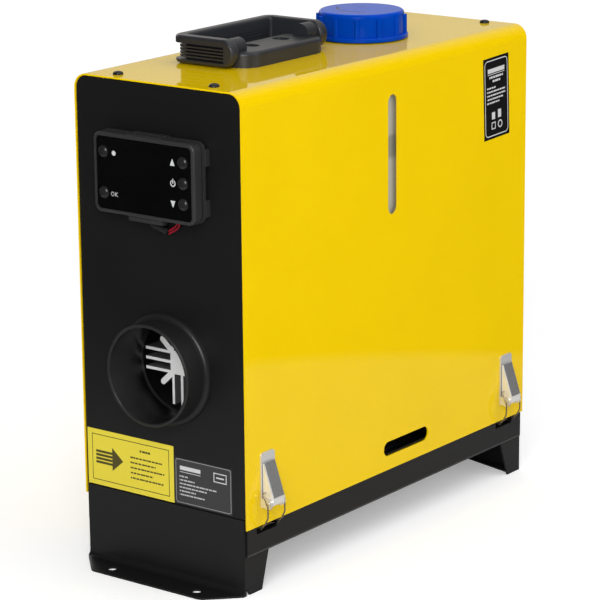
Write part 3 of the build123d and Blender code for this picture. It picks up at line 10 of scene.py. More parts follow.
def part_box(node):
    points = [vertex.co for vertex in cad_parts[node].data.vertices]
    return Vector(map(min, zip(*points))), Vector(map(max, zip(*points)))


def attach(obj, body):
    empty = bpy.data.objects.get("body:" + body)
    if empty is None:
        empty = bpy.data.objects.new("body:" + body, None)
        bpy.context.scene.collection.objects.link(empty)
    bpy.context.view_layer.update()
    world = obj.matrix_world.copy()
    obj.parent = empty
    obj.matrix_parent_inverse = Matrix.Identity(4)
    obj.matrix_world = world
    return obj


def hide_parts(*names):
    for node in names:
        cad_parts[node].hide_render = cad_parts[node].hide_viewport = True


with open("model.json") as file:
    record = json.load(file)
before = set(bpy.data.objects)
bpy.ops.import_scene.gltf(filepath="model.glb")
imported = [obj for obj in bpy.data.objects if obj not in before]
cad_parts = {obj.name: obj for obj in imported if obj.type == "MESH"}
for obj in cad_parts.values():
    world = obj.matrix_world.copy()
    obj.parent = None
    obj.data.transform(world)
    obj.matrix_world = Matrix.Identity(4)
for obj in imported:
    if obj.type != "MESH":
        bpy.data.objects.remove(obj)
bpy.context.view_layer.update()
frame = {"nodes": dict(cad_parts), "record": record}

mm = 0.001  # metres in a millimetre


def stageNote(text):
    print("scene:", text, flush=True)


def boxOf(node):  # low corner and middle of a node's box, in mm
    low, high = (np.array(corner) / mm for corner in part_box(node))
    return low.tolist(), ((low + high) / 2).tolist()


def grey(level):
    return (level, level, level)


class Ink:  # one shader value; a sum or product of values adds a Math node
    def __init__(self, nodes, socket):
        self.nodes = nodes
        self.socket = socket

    def maths(self, kind, *others, swap=False):
        terms = [self, *others]
        if swap:
            terms.reverse()
        made = self.nodes.node("ShaderNodeMath", {"operation": kind}, dict(enumerate(terms)))
        return Ink(self.nodes, made.outputs[0])

    def __add__(self, other):
        return self.maths("ADD", other)

    __radd__ = __add__

    def __sub__(self, other):
        return self.maths("SUBTRACT", other)

    def __rsub__(self, other):
        return self.maths("SUBTRACT", other, swap=True)

    def __mul__(self, other):
        return self.maths("MULTIPLY", other)

    __rmul__ = __mul__

    def __truediv__(self, other):
        return self.maths("DIVIDE", other)

    def __rtruediv__(self, other):
        return self.maths("DIVIDE", other, swap=True)

    def __pow__(self, other):
        return self.maths("POWER", other)

    def __abs__(self):
        return self.maths("ABSOLUTE")

    def __neg__(self):
        return self.maths("MULTIPLY", -1.0)

    def least(self, other):
        return self.maths("MINIMUM", other)

    def most(self, other):
        return self.maths("MAXIMUM", other)

    def root(self):
        return self.maths("SQRT")

    def sine(self):
        return self.maths("SINE")

    def wrap(self, period):  # up and down again between 0 and the period
        return self.maths("PINGPONG", period)

    def over(self, edge, soft):  # 0 below the edge and 1 above it, straight between over the soft width
        return ((self - (edge - soft / 2)) / soft).most(0.0).least(1.0)

    def under(self, edge, soft):  # 1 below the edge and 0 above it
        return 1.0 - self.over(edge, soft)

    def around(self, middle, spread):  # a middle value that swings as this noise does
        return middle + (self - 0.5) * spread


class Nodes:  # the node tree of one material or of the world
    def __init__(self, owner):
        owner.use_nodes = True
        self.tree = owner.node_tree
        self.tree.nodes.clear()
        self.coords = self.node("ShaderNodeTexCoord", {}, {})

    def node(self, kind, settings, inputs):  # type, settings, then a value or a link for each socket
        made = self.tree.nodes.new(kind)
        for key, value in settings.items():
            setattr(made, key, value)
        for key, value in inputs.items():
            if isinstance(value, Ink):
                value = value.socket
            if isinstance(value, bpy.types.NodeSocket):
                self.tree.links.new(value, made.inputs[key])
            else:
                made.inputs[key].default_value = value
        return made

    def blend(self, amount, low, high):  # colour between low and high, each three numbers or a socket
        ends = [end if isinstance(end, bpy.types.NodeSocket) else (*end, 1.0) for end in (low, high)]
        made = self.node("ShaderNodeMix", {"data_type": "RGBA"}, {0: amount, 6: ends[0], 7: ends[1]})
        return made.outputs[2]  # a Mix node's colours are its sockets 6 and 7, and output 2

    def choose(self, mask, plain, masked):  # one shader where the mask is 0, the other where it is 1
        return self.node("ShaderNodeMixShader", {}, {0: mask, 1: plain, 2: masked}).outputs[0]

    def glow(self, strength):  # a white surface that lights itself
        values = {"Color": (1.0, 1.0, 1.0, 1.0), "Strength": strength}
        return self.node("ShaderNodeEmission", {}, values).outputs[0]

    def seenBy(self, ray):  # 1 for one kind of ray
        return Ink(self, self.node("ShaderNodeLightPath", {}, {}).outputs[ray])


class Paint(Nodes):  # one material under construction, with Object coordinates in millimetres
    def __init__(self, name):
        self.mat = bpy.data.materials.new(name)
        super().__init__(self.mat)
        self.place = self.node("ShaderNodeVectorMath", {"operation": "SCALE"},
                               {"Vector": self.coords.outputs["Object"], "Scale": 1 / mm}).outputs[0]
        split = self.node("ShaderNodeSeparateXYZ", {}, {0: self.place})
        self.x, self.y, self.z = (Ink(self, split.outputs[axis]) for axis in range(3))

    def facing(self, axis):  # how far the surface is turned to X, Y or Z, by its normal
        split = self.node("ShaderNodeSeparateXYZ", {}, {0: self.coords.outputs["Normal"]})
        return Ink(self, split.outputs[axis])

    def noise(self, scale, detail=3.0, rough=0.5, stretch=(1, 1, 1)):  # scale in changes per mm
        values = {0: self.place, 1: stretch}
        moved = self.node("ShaderNodeVectorMath", {"operation": "MULTIPLY"}, values).outputs[0]
        values = {"Vector": moved, "Scale": scale, "Detail": detail, "Roughness": rough}
        return Ink(self, self.node("ShaderNodeTexNoise", {}, values).outputs[0])

    def bump(self, height, strength, depth):  # depth in mm
        values = {"Height": height, "Strength": strength, "Distance": depth * mm}
        return self.node("ShaderNodeBump", {}, values).outputs[0]

    def coat(self, values):  # the paint itself, by the names of its sockets
        return self.node("ShaderNodeBsdfPrincipled", {}, values).outputs[0]

    def show(self, shader):  # closes the material on a shader
        self.node("ShaderNodeOutputMaterial", {}, {"Surface": shader})
        return self.mat

    def finish(self, values):  # the usual close: one coat
        return self.show(self.coat(values))


# printed marks: u runs across and v up, in mm from the middle of what they are printed on
softEdge = 0.25  # mm over which an edge fades


def reach(u, v):  # distance from the middle
    return (u ** 2.0 + v ** 2.0).root()


def edgeOf(u, v, middle, half):  # distance outside a rectangle, the larger of across and up
    return (abs(u - middle[0]) - half[0]).most(abs(v - middle[1]) - half[1])


def bar(u, v, middle, half, soft=softEdge):  # 1 inside a rectangle
    return edgeOf(u, v, middle, half).under(0.0, soft)


def outline(u, v, middle, half, line):  # 1 where a rectangle's edge is nearer than line
    return abs(edgeOf(u, v, middle, half)).under(line, softEdge)


def dot(u, v, middle, radius):  # 1 inside a circle
    return reach(u - middle[0], v - middle[1]).under(radius, softEdge)


def ring(u, v, middle, radius, line, soft=softEdge):  # 1 where a circle is nearer than line
    return abs(reach(u - middle[0], v - middle[1]) - radius).under(line, soft)


def roundOutline(u, v, half, corner, line):  # the same for a rectangle with round corners
    across = (abs(u) - (half[0] - corner)).most(0.0)
    up = (abs(v) - (half[1] - corner)).most(0.0)
    return abs(reach(across, up) - corner).under(line, softEdge)


dashPattern = {
    "waves": ((2.1, 1.7), (3.7, 2.9)),  # turn per mm, and turn per step of the seed
    "gap": -1.15,  # a gap where the waves add up to less
}


def dashRow(u, v, left, right, height, half, seed):  # a bar, broken where two sines add up low
    short, long = ((u * perMm + seed * perSeed).sine() for perMm, perSeed in dashPattern["waves"])
    dashes = (short + long).over(dashPattern["gap"], 0.5)
    return bar(u, v, ((left + right) / 2, height), ((right - left) / 2, half), 0.3) * dashes


# painted sheet
yellowCoat = {
    "dark": (0.83, 0.562, 0.0006),
    "light": (0.89, 0.607, 0.0012),
    "cloud": 0.012,  # changes per mm in the colour
    "mottle": 0.05,  # and in the roughness
    "peel": 0.30,  # and in the height
    "rough": (0.34, 0.08),  # middle and spread, here and below
    "relief": (0.012, 0.4),  # strength and depth in mm, here and below
    "clearRough": 0.035,
}


def yellowEnamel():  # slow cloud in the colour, a finer one in the roughness, orange peel, clear coat
    p = Paint("yellowEnamel")
    cloud = p.noise(yellowCoat["cloud"], 2.0)
    peel = p.noise(yellowCoat["peel"], 1.0)
    return p.finish({
        "Base Color": p.blend(cloud, yellowCoat["dark"], yellowCoat["light"]),
        "Roughness": p.noise(yellowCoat["mottle"]).around(*yellowCoat["rough"]),
        "Specular IOR Level": 0.0,
        "Coat Weight": 1.0,
        "Coat Roughness": yellowCoat["clearRough"],
        "Coat IOR": 1.5,
        "Normal": p.bump(peel, *yellowCoat["relief"]),
    })


blackCoat = {
    "dark": (0.0062, 0.0062, 0.0065),
    "light": (0.0105, 0.0105, 0.0109),
    "speck": 1.6,  # changes per mm
    "cloud": 0.015,
    "rough": (0.38, 0.10),
    "relief": (0.06, 0.5),
    "skirt": 29.4,  # where the panels' skirt ends above the floor
    "lines": (  # along the skirt: place out and above its end, half sizes, strength, colour
        ((74.0, -0.7), (0.9, 0.6), 0.85, grey(0.001)),  # shadow of the seam
        ((76.4, 0.6), (1.6, 0.6), 0.80, (0.060, 0.060, 0.062)),  # painted highlight along the hem
    ),
}


def blackEnamel():  # near black: speckle and cloud in the colour, speckle in the height, painted shadow and highlight lines at the skirt
    p = Paint("blackEnamel")
    speck = p.noise(blackCoat["speck"], 2.0)
    cloud = p.noise(blackCoat["cloud"], 2.0)
    color = p.blend(speck * 0.6 + cloud * 0.4, blackCoat["dark"], blackCoat["light"])
    # painted shadow under the seam and painted highlight along the hem
    for (out, above), half, strength, tint in blackCoat["lines"]:
        line = bar(abs(p.x), p.z, (out, blackCoat["skirt"] + above), half, 0.4)
        color = p.blend(line * strength, color, tint)
    return p.finish({
        "Base Color": color,
        "Roughness": cloud.around(*blackCoat["rough"]),
        "Specular IOR Level": 0.5,
        "Normal": p.bump(speck, *blackCoat["relief"]),
    })


# plain plastics and metals, by material slot
plasticLooks = {  # name, dark and light colour, roughness, grain per mm, strength of the grain
    "black_plastic": ("blackPlastic", grey(0.011), grey(0.018), 0.42, 1.4, 0.12),
    "shell_plastic": ("shellPlastic", (0.016, 0.016, 0.017), (0.026, 0.026, 0.027), 0.50, 1.2, 0.15),
    "handle_plastic": ("handlePlastic", (0.0185, 0.0195, 0.0245), (0.029, 0.0305, 0.036),
                       0.36, 1.3, 0.14),
    "controller_plastic": ("controllerPlastic", grey(0.026), grey(0.037), 0.38, 1.6, 0.12),
    "button_plastic": ("buttonPlastic", grey(0.013), grey(0.020), 0.25, 1.8, 0.03),
    "board_laminate": ("boardLaminate", (0.008, 0.08, 0.025), (0.012, 0.12, 0.035), 0.45, 0.8, 0.05),
    "wire_insulation": ("wireInsulation", (0.20, 0.004, 0.012), (0.28, 0.007, 0.020), 0.18, 1.0, 0.05),
    "sleeve_rubber": ("sleeveRubber", grey(0.011), grey(0.018), 0.50, 1.0, 0.10),
    "seal_rubber": ("sealRubber", grey(0.012), grey(0.020), 0.60, 1.0, 0.20),
    "filter_plastic": ("filterPlastic", (0.62, 0.62, 0.56), (0.74, 0.74, 0.68), 0.30, 0.6, 0.05),
}
metalLooks = {  # name, dark and light colour, roughness, stretch of the streaks, metallic
    "black_steel": ("blackOxide", grey(0.02), grey(0.045), 0.38, (1, 1, 1), 0.6),
    "bright_steel": ("brightSteel", (0.58, 0.58, 0.57), (0.72, 0.72, 0.70), 0.26, (1, 0.3, 1), 1.0),
    "bright_nickel": ("brightNickel", (0.78, 0.77, 0.75), (0.92, 0.91, 0.89), 0.24, (1, 1, 0.15), 0.6),
    "zinc_sheet": ("zincSheet", (0.45, 0.46, 0.47), (0.62, 0.63, 0.64), 0.36, (1, 0.1, 1), 1.0),
    "stainless": ("stainless", (0.50, 0.48, 0.45), (0.66, 0.65, 0.62), 0.32, (1, 1, 0.1), 1.0),
}
bailLook = ("bailWire", (0.34, 0.29, 0.22), (0.48, 0.42, 0.34), 0.12, (1, 1, 1), 1.0)
plasticCloud = {"changes": 0.04, "roughSpread": 0.10, "grainDepth": 0.4}
metalStreak = {"changes": 0.8, "cloud": 0.09, "roughSpread": 0.14, "relief": (0.06, 0.3)}


def grainPlastic(name, dark, light, rough, grain, strength):  # even grain, slow cloud in the colour
    p = Paint(name)
    speck = p.noise(grain, 2.0)
    cloud = p.noise(plasticCloud["changes"], 2.0)
    color = p.blend(cloud * 0.7 + speck * 0.3, dark, light)
    return p.finish({
        "Base Color": color,
        "Roughness": cloud.around(rough, plasticCloud["roughSpread"]),
        "Normal": p.bump(speck, strength, plasticCloud["grainDepth"]),
    })


def brightMetal(name, dark, light, rough, stretch, metal):  # streaks along the draw, and a slow cloud
    p = Paint(name)
    streak = p.noise(metalStreak["changes"], 3.0, 0.6, stretch)
    cloud = p.noise(metalStreak["cloud"], 2.0)
    color = p.blend(cloud * 0.6 + streak * 0.4, dark, light)
    return p.finish({
        "Base Color": color,
        "Metallic": metal,
        "Roughness": streak.around(rough, metalStreak["roughSpread"]),
        "Normal": p.bump(streak, *metalStreak["relief"]),
    })


leverLook = {
    "dark": (0.66, 0.66, 0.67),
    "light": (0.93, 0.92, 0.90),
    "stretch": (1, 1, 0.15),  # of the streaks, which run up the lever
    "rough": (0.24, 0.12),
    "relief": (0.05, 0.3),
    "metal": 0.80,  # of the web
    "paleMetal": 0.40,  # taken off at the sides and the nose
    "nose": 8.6,  # height of the nose above the lever's lower end
}


def leverMetal():  # drawn nickel; the web mirrors more; the sides and the nose are painted paler as a painted highlight, and are less metallic so they scatter more
    p = Paint("leverMetal")
    noseTop = boxOf("latch_lever_front_right")[0][2] + leverLook["nose"]
    # painted highlight: the sides and the nose are painted towards the light colour
    paintedSheen = abs(p.facing("Y")).over(0.6, 0.4).most(p.z.under(noseTop, 0.8))
    streak = p.noise(metalStreak["changes"], 3.0, 0.6, leverLook["stretch"])
    color = p.blend(paintedSheen * 0.7 + streak * 0.3, leverLook["dark"], leverLook["light"])
    return p.finish({
        "Base Color": color,
        "Metallic": leverLook["metal"] - paintedSheen * leverLook["paleMetal"],
        "Roughness": streak.around(*leverLook["rough"]),
        "Normal": p.bump(streak, *leverLook["relief"]),
    })


castLook = {
    "dark": (0.84, 0.84, 0.83),
    "light": (0.97, 0.97, 0.96),
    "shade": grey(0.05),
    "pits": 0.9,  # changes per mm
    "cloud": 0.06,
    "rough": (0.42, 0.2),
    "relief": (0.35, 0.6),
    "halfway": 8.0,  # mm behind the front where it is half in shade
    "fade": 14.0,  # length of that change
    "side": 0.93,  # shade of the fins' sides
}


def castMetal():  # light grey; the shade is the larger of depth and of being turned from the outlet
    p = Paint("castMetal")
    front = boxOf("heat_exchanger")[0][1]
    pits = p.noise(castLook["pits"], 4.0, 0.65)
    cloud = p.noise(castLook["cloud"], 2.0)
    edge = (-p.facing("Y")).over(0.55, 0.5)
    side = castLook["side"] - edge * castLook["side"]
    deep = p.y.over(front + castLook["halfway"], castLook["fade"]).most(side)
    bright = p.blend(cloud * 0.5 + pits * 0.5, castLook["dark"], castLook["light"])
    return p.finish({
        "Base Color": p.blend(deep, bright, castLook["shade"]),
        "Metallic": 0.0,
        "Roughness": pits.around(*castLook["rough"]),
        "Normal": p.bump(pits, *castLook["relief"]),
    })


collarLook = {
    "dark": grey(0.011),
    "light": grey(0.026),
    # colour of the painted shade in the bore
    "bore": grey(0.0016),
    "speck": 1.4,  # changes per mm
    "rough": (0.36, 0.08),
    "relief": (0.10, 0.4),
    "radius": 36.5,  # everything nearer to the axis is in the bore
    "halfway": 6.0,  # mm behind the front where the bore is half dark
    "fade": 14.0,
    "lip": 0.9,  # width of the front edge that is painted paler, a painted highlight
}


def collarPlastic():  # black with its lip painted paler as a painted highlight; inside a radius round its axis it darkens with depth, painted shade in the bore
    p = Paint("collarPlastic")
    (_, front, _), (middleX, _, middleZ) = boxOf("outlet_collar")
    speck = p.noise(collarLook["speck"], 2.0)
    inside = reach(p.x - middleX, p.z - middleZ).under(collarLook["radius"], 0.8)
    # painted shade deepening into the bore, and a painted highlight on the front edge
    deep = inside * p.y.over(front + collarLook["halfway"], collarLook["fade"])
    lip = p.y.under(front + collarLook["lip"], 0.6)
    outer = p.blend(speck * 0.5 + lip * 0.5, collarLook["dark"], collarLook["light"])
    return p.finish({
        "Base Color": p.blend(deep, outer, collarLook["bore"]),
        "Roughness": speck.around(*collarLook["rough"]),
        "Normal": p.bump(speck, *collarLook["relief"]),
    })


tankLook = {
    "light": (0.50, 0.50, 0.44),
    "dark": (0.20, 0.20, 0.16),
    "cloud": 0.05,  # changes per mm
    "rough": (0.38, 0.1),
    "relief": (0.2, 1.0),
    "band": (289.0, 306.0),  # lower and upper end of the darker band
}


def tankPlastic():  # milky plastic with a slow cloud and one darker band between two heights
    p = Paint("tankPlastic")
    cloud = p.noise(tankLook["cloud"], 3.0)
    bandLow, bandHigh = tankLook["band"]
    band = p.z.over(bandLow, 4.0) * p.z.under(bandHigh, 3.0)
    color = p.blend(cloud * 0.3 + band * 0.6, tankLook["light"], tankLook["dark"])
    return p.finish({
        "Base Color": color,
        "Roughness": cloud.around(*tankLook["rough"]),
        "Normal": p.bump(cloud, *tankLook["relief"]),
    })


capLook = {
    "side": ((0.0, 0.044, 0.41), (0.0, 0.055, 0.48)),  # dark and light
    # lighter colours for the top face: painted light
    "litLid": ((0.0, 0.070, 0.53), (0.0, 0.082, 0.60)),
    # darker colour for the pressed marks: painted shade in their grooves
    "pressed": (0.0, 0.016, 0.16),
    "cloud": 0.05,  # changes per mm
    "fine": 0.9,
    "rough": (0.17, 0.06),
    "relief": (0.5, 0.6),
    "gloss": 0.06,
    "across": (0.796, 0.605),  # direction of across on the lid, seen from above
    "arc": {"middle": (3.0, 5.0), "radius": 21.5, "line": 1.1, "right": 1.5, "top": 11.0},
    "tick": {"middle": (1.0, 9.0), "half": (2.6, 0.9)},
}


def capPlastic():  # blue gloss; the lid is painted paler as painted light on the top face, and the part of a ring and the tick pressed into it are painted darker as painted shade
    p = Paint("capPlastic")
    _, (middleX, middleY, _) = boxOf("fuel_cap")
    cloud = p.noise(capLook["cloud"], 2.0)
    fine = p.noise(capLook["fine"], 2.0)
    u, v = p.x - middleX, p.y - middleY
    turnX, turnY = capLook["across"]
    u, v = u * turnX + v * turnY, v * turnX - u * turnY
    arc, tick = capLook["arc"], capLook["tick"]
    pressed = ring(u, v, arc["middle"], arc["radius"], arc["line"], 0.5)
    pressed = pressed * u.under(arc["right"], 0.6) * v.under(arc["top"], 0.6)
    # painted light: the top face gets the paler colours
    litLid = p.facing("Z").over(0.8, 0.2)
    relief = pressed.most(bar(u, v, tick["middle"], tick["half"], 0.5)) * litLid
    plain = p.blend(litLid, p.blend(cloud, *capLook["side"]), p.blend(cloud, *capLook["litLid"]))
    return p.finish({
        # painted shade darkens the pressed marks
        "Base Color": p.blend(relief * 0.9, plain, capLook["pressed"]),
        "Roughness": cloud.around(*capLook["rough"]),
        "Specular IOR Level": capLook["gloss"],
        "Normal": p.bump(fine * 0.1 - relief, *capLook["relief"]),
    })


paneLook = {
    "dark": (0.0012, 0.0012, 0.0014),
    "light": (0.0022, 0.0022, 0.0024),
    "mark": (0.62, 0.63, 0.63),
    "cloud": 0.03,  # changes per mm
    "rough": (0.14, 0.08),
    "gloss": 0.4,
    "dot": ((-27.5, 14.6), 1.75),  # middle and radius
    "letters": {
        "middle": -15.0,  # height of both
        "round": -29.3,  # where the O is
        "radius": 1.40,
        "narrow": 1.05,
        "stem": -26.7,  # where the K's stem is
        "high": 1.6,  # half its height
    },
    "arrows": {
        "across": 26.0,
        "middles": ((1.0, 14.4), (-1.0, -15.3)),  # which way each points, and its height
        "slope": 2.3,
        "tip": 2.6,  # above the middle
        "foot": -2.4,
    },
    "power": {"middle": (26.2, -0.5), "radius": 2.0, "line": 0.42},
}


def letterMarks(u, v, place):  # a narrow ring, then a stem and two lines that leave it at a slope
    v = v - place["middle"]
    letterO = ring((u - place["round"]) * place["narrow"], v, (0.0, 0.0), place["radius"], 0.20, 0.2)
    u = u - place["stem"]
    stem = bar(u, v, (0.0, 0.0), (0.22, place["high"]), 0.2)
    arms = abs(abs(v) - (u - 0.2) * 0.85).under(0.24, 0.2)
    arms = arms * bar(u, v, (1.3, 0.0), (1.15, place["high"]), 0.2)
    return letterO.most(stem).most(arms)


def arrowMark(u, v, place, way, middle):  # height plus a multiple of the distance across is small
    rise = (v - middle) * way
    inside = (rise + abs(u - place["across"]) * place["slope"]).under(place["tip"], 0.35)
    return inside * rise.over(place["foot"], 0.25)


def powerMark(u, v, place):  # a ring with a gap at its top, and a stroke in the gap
    across, up = place["middle"]
    gap = bar(u, v, (across, up + 2.1), (1.0, 1.2))
    stroke = bar(u, v, (across, up + 1.6), (0.4, 1.7))
    return stroke.most(ring(u, v, place["middle"], place["radius"], place["line"]) * (1.0 - gap))


def displayPlastic():  # black gloss with white marks on its front: dot, letters, arrows, power sign
    p = Paint("displayPlastic")
    (_, front, _), (middleX, _, middleZ) = boxOf("display_window")
    u, v = p.x - middleX, p.z - middleZ
    marks = [arrowMark(u, v, paneLook["arrows"], *arrow) for arrow in paneLook["arrows"]["middles"]]
    marks.append(dot(u, v, *paneLook["dot"]))
    marks.append(letterMarks(u, v, paneLook["letters"]))
    marks.append(powerMark(u, v, paneLook["power"]))
    onFront = reduce(Ink.most, marks) * p.y.under(front + 0.4, 0.2)
    cloud = p.noise(paneLook["cloud"], 2.0)
    pane = p.blend(cloud, paneLook["dark"], paneLook["light"])
    return p.finish({
        "Base Color": p.blend(onFront, pane, paneLook["mark"]),
        "Roughness": cloud.around(*paneLook["rough"]),
        "Specular IOR Level": paneLook["gloss"],
    })


# the three plates: bars and frames have a middle and half sizes,
# titles have left and right ends, height, half height and seed
plateFilm = {"fine": 0.9, "rough": (0.20, 0.06), "gloss": 0.35}
yellowPlate = {
    "middle": (-32.3, 79.4),  # across and up on the front panel
    "colors": ((0.74, 0.61, 0.046), (0.80, 0.67, 0.052)),
    "ink": (0.020, 0.018, 0.012),
    "inkTone": 0.92,
    "arrow": {
        "height": 0.5,  # of its middle
        "head": -17.5,  # where the head starts
        "tip": -7.0,
        "slope": 0.85,
        "stripe": 1.4,
        "shaft": ((-25.3, 0.5), (7.9, 5.6)),
    },
    "bars": (),
    "frames": (((0.0, 0.0), (36.5, 17.4), 0.3),),
    "titles": ((9.0, 19.0, 11.6, 0.8, 0.4),),
    "rows": {
        "left": 0.0,
        "right": (30.0, 24.0, 32.0, 21.5, 31.0),  # one for each row
        "top": 5.6,  # height of the first row
        "pitch": 3.9,
        "half": 0.62,
        "seed": 0.0,  # shifts the dashes
        "tone": 1.0,  # share of the ink
    },
}
greyPlate = {
    "middle": (36.0, 76.0),
    "left": 9.2,  # where the yellow plate ends and this one starts
    "colors": ((0.040, 0.040, 0.041), (0.052, 0.052, 0.053)),
    "ink": grey(0.62),
    "edge": ((25.2, 16.3), 2.0, 0.26),  # half sizes, corner radius and half a line
    "edgeTone": 0.4,
    "bars": (((-12.0, 10.0), (9.5, 1.5)), ((-12.0, 7.0), (9.5, 0.22)), ((15.5, 8.5), (3.6, 0.5))),
    "frames": (((15.5, 8.5), (5.6, 3.2), 0.35),),
    "titles": (),
    "rows": {
        "left": -22.0,
        "right": (-14.0, -8.0, 12.0, 3.0, -7.0, 1.0),
        "top": 3.6,
        "pitch": 2.75,
        "half": 0.5,
        "seed": 2.0,
        "tone": 0.8,
    },
}
blackPlate = {
    "middle": (143.4, 314.3),  # along and up on the side wall
    "turn": math.radians(2.4),
    "wall": 70.0,  # everything further out is on the side wall
    "colors": ((0.006, 0.006, 0.0065), (0.010, 0.010, 0.0105)),
    "ink": grey(0.58),
    "edge": ((15.6, 29.6), 3.6, 0.38),
    "bars": (((0.0, 21.6), (11.6, 1.7)), ((0.0, 18.8), (11.6, 0.25)), ((-4.5, -14.0), (2.2, 2.8)),
             ((4.0, -13.4), (2.2, 3.2))),
    "frames": (((-4.5, -21.8), (2.4, 2.4), 0.4),),
    "ring": ((4.6, -21.8), 2.6, 0.5),
    "titles": ((-9.5, 9.5, 16.4, 0.8, 1.0), (-5.5, 5.5, 13.2, 0.8, 2.0)),
    "rows": {
        "left": -13.0,
        "right": (-1.0, 12.0, 12.5, 9.0, 4.0),
        "top": 8.2,
        "pitch": 2.9,
        "half": 0.6,
        "seed": 4.0,
        "tone": 1.0,
    },
}


def evenRows(u, v, rows):  # one row of dashes under the other, each with its own right end
    lines = []
    for index, right in enumerate(rows["right"]):
        height = rows["top"] - index * rows["pitch"]
        lines.append(dashRow(u, v, rows["left"], right, height, rows["half"], rows["seed"] + index))
    return reduce(Ink.most, lines) * rows["tone"]


def plateMarks(u, v, plate):  # at each place the largest of rows, bars, frames and titles
    marks = [evenRows(u, v, plate["rows"])]
    marks += [bar(u, v, *values) for values in plate["bars"]]
    marks += [outline(u, v, *values) for values in plate["frames"]]
    marks += [dashRow(u, v, *values) for values in plate["titles"]]
    return reduce(Ink.most, marks)


def flowArrow(u, v, arrow):  # head: height plus a share of the way to the tip; shaft: stripes by height
    high = abs(v - arrow["height"])
    beyond = u.over(arrow["head"], 0.3)
    head = (high + (u - arrow["tip"]) * arrow["slope"]).under(0.0, 0.4) * beyond
    stripes = high.wrap(arrow["stripe"]).over(0.45, 0.3).most(beyond)
    return head.most(bar(u, v, *arrow["shaft"]) * stripes)


def labelPrint():  # picks one of the three plates by place
    p = Paint("labelPrint")
    fine = p.noise(plateFilm["fine"], 2.0)

    u, v = p.x - yellowPlate["middle"][0], p.z - yellowPlate["middle"][1]
    ink = plateMarks(u, v, yellowPlate).most(flowArrow(u, v, yellowPlate["arrow"]))
    sheet = p.blend(fine, *yellowPlate["colors"])
    front = p.blend(ink * yellowPlate["inkTone"], sheet, yellowPlate["ink"])

    u, v = p.x - greyPlate["middle"][0], p.z - greyPlate["middle"][1]
    edge = roundOutline(u, v, *greyPlate["edge"]) * greyPlate["edgeTone"]
    sheet = p.blend(fine, *greyPlate["colors"])
    plate = p.blend(plateMarks(u, v, greyPlate).most(edge), sheet, greyPlate["ink"])
    front = p.blend(p.x.over(greyPlate["left"], 0.3), front, plate)

    along, up = p.y - blackPlate["middle"][0], p.z - blackPlate["middle"][1]
    cosine, sine = math.cos(blackPlate["turn"]), math.sin(blackPlate["turn"])
    u, v = along * cosine + up * sine, up * cosine - along * sine
    edge = roundOutline(u, v, *blackPlate["edge"]).most(ring(u, v, *blackPlate["ring"]))
    sheet = p.blend(fine, *blackPlate["colors"])
    plate = p.blend(plateMarks(u, v, blackPlate).most(edge), sheet, blackPlate["ink"])
    return p.finish({
        "Base Color": p.blend(p.x.over(blackPlate["wall"], 1.0), front, plate),
        "Roughness": fine.around(*plateFilm["rough"]),
        "Specular IOR Level": plateFilm["gloss"],
    })


stageNote("materials")
surfaceOf = {
    "yellow_paint": yellowEnamel(),
    "black_paint": blackEnamel(),
    "cast_aluminium": castMetal(),
    "display_glass": displayPlastic(),
    "tank_plastic": tankPlastic(),
    "cap_plastic": capPlastic(),
    "label_film": labelPrint(),
    **{slot: grainPlastic(*look) for slot, look in plasticLooks.items()},
    **{slot: brightMetal(*look) for slot, look in metalLooks.items()},
}
ownSurface = {  # by the start of a node's name, whatever its slot
    "latch_bail": brightMetal(*bailLook),
    "latch_lever": leverMetal(),
    "outlet_collar": collarPlastic(),
}
slotOf = {entry["node"]: entry["material_slot"] for entry in frame["record"]["subparts"]}
for name, piece in frame["nodes"].items():
    own = [surface for start, surface in ownSurface.items() if name.startswith(start)]
    piece.data.materials.clear()
    piece.data.materials.append(own[0] if own else surfaceOf[slotOf[name]])

# domed keys of the controller
keyShape = {
    "bodies": {  # each key's node, and the body it rides on
        "menu_button": "menu",
        "ok_button": "ok",
        "up_button": "up",
        "power_button": "power",
        "down_button": "down",
    },
    "radius": 4.6,
    "rise": 2.8,  # height of the dome
    "rim": (3.8, 5.5, 5.0),  # depth and radius of the rim under the pane, and its back
    "stem": (1.6, 5.2),  # radius and back
    "rings": 16,
    "spokes": 72,
}


def turnedPiece(name, profile, middle, spokes, smoothRows):
    # a circle at each radius and depth of the profile, round y, with a pole at both ends;
    # the first rows and the front pole are smooth
    radius, depth = np.array(profile[1:-1]).T
    angle = np.linspace(0, 2 * np.pi, spokes, endpoint=False)
    rings = np.stack([radius[:, None] * np.cos(angle), np.repeat(depth[:, None], spokes, axis=1),
                      radius[:, None] * np.sin(angle)], axis=2).reshape(-1, 3)
    poles = np.array([[0, profile[0][1], 0], [0, profile[-1][1], 0]])
    points = (np.concatenate([rings, poles]) + np.array(middle)) * mm
    rows = len(radius)
    start = np.arange(spokes)
    after = (start + 1) % spokes
    step = np.arange(rows - 1)[:, None] * spokes
    corners = [step + start, step + start + spokes, step + after + spokes, step + after]
    walls = np.stack(corners, axis=2).reshape(-1, 4)
    front = np.stack([np.full(spokes, rows * spokes), start, after], axis=1)
    last = (rows - 1) * spokes
    back = np.stack([np.full(spokes, rows * spokes + 1), last + after, last + start], axis=1)
    mesh = bpy.data.meshes.new(name)
    mesh.from_pydata(points, [], walls.tolist() + front.tolist() + back.tolist())
    smooth = np.zeros(len(mesh.polygons), dtype=bool)
    smooth[:smoothRows * spokes] = True
    smooth[len(walls):len(walls) + spokes] = True
    mesh.polygons.foreach_set("use_smooth", smooth)
    mesh.update()
    made = bpy.data.objects.new(name, mesh)
    bpy.context.scene.collection.objects.link(made)
    return made


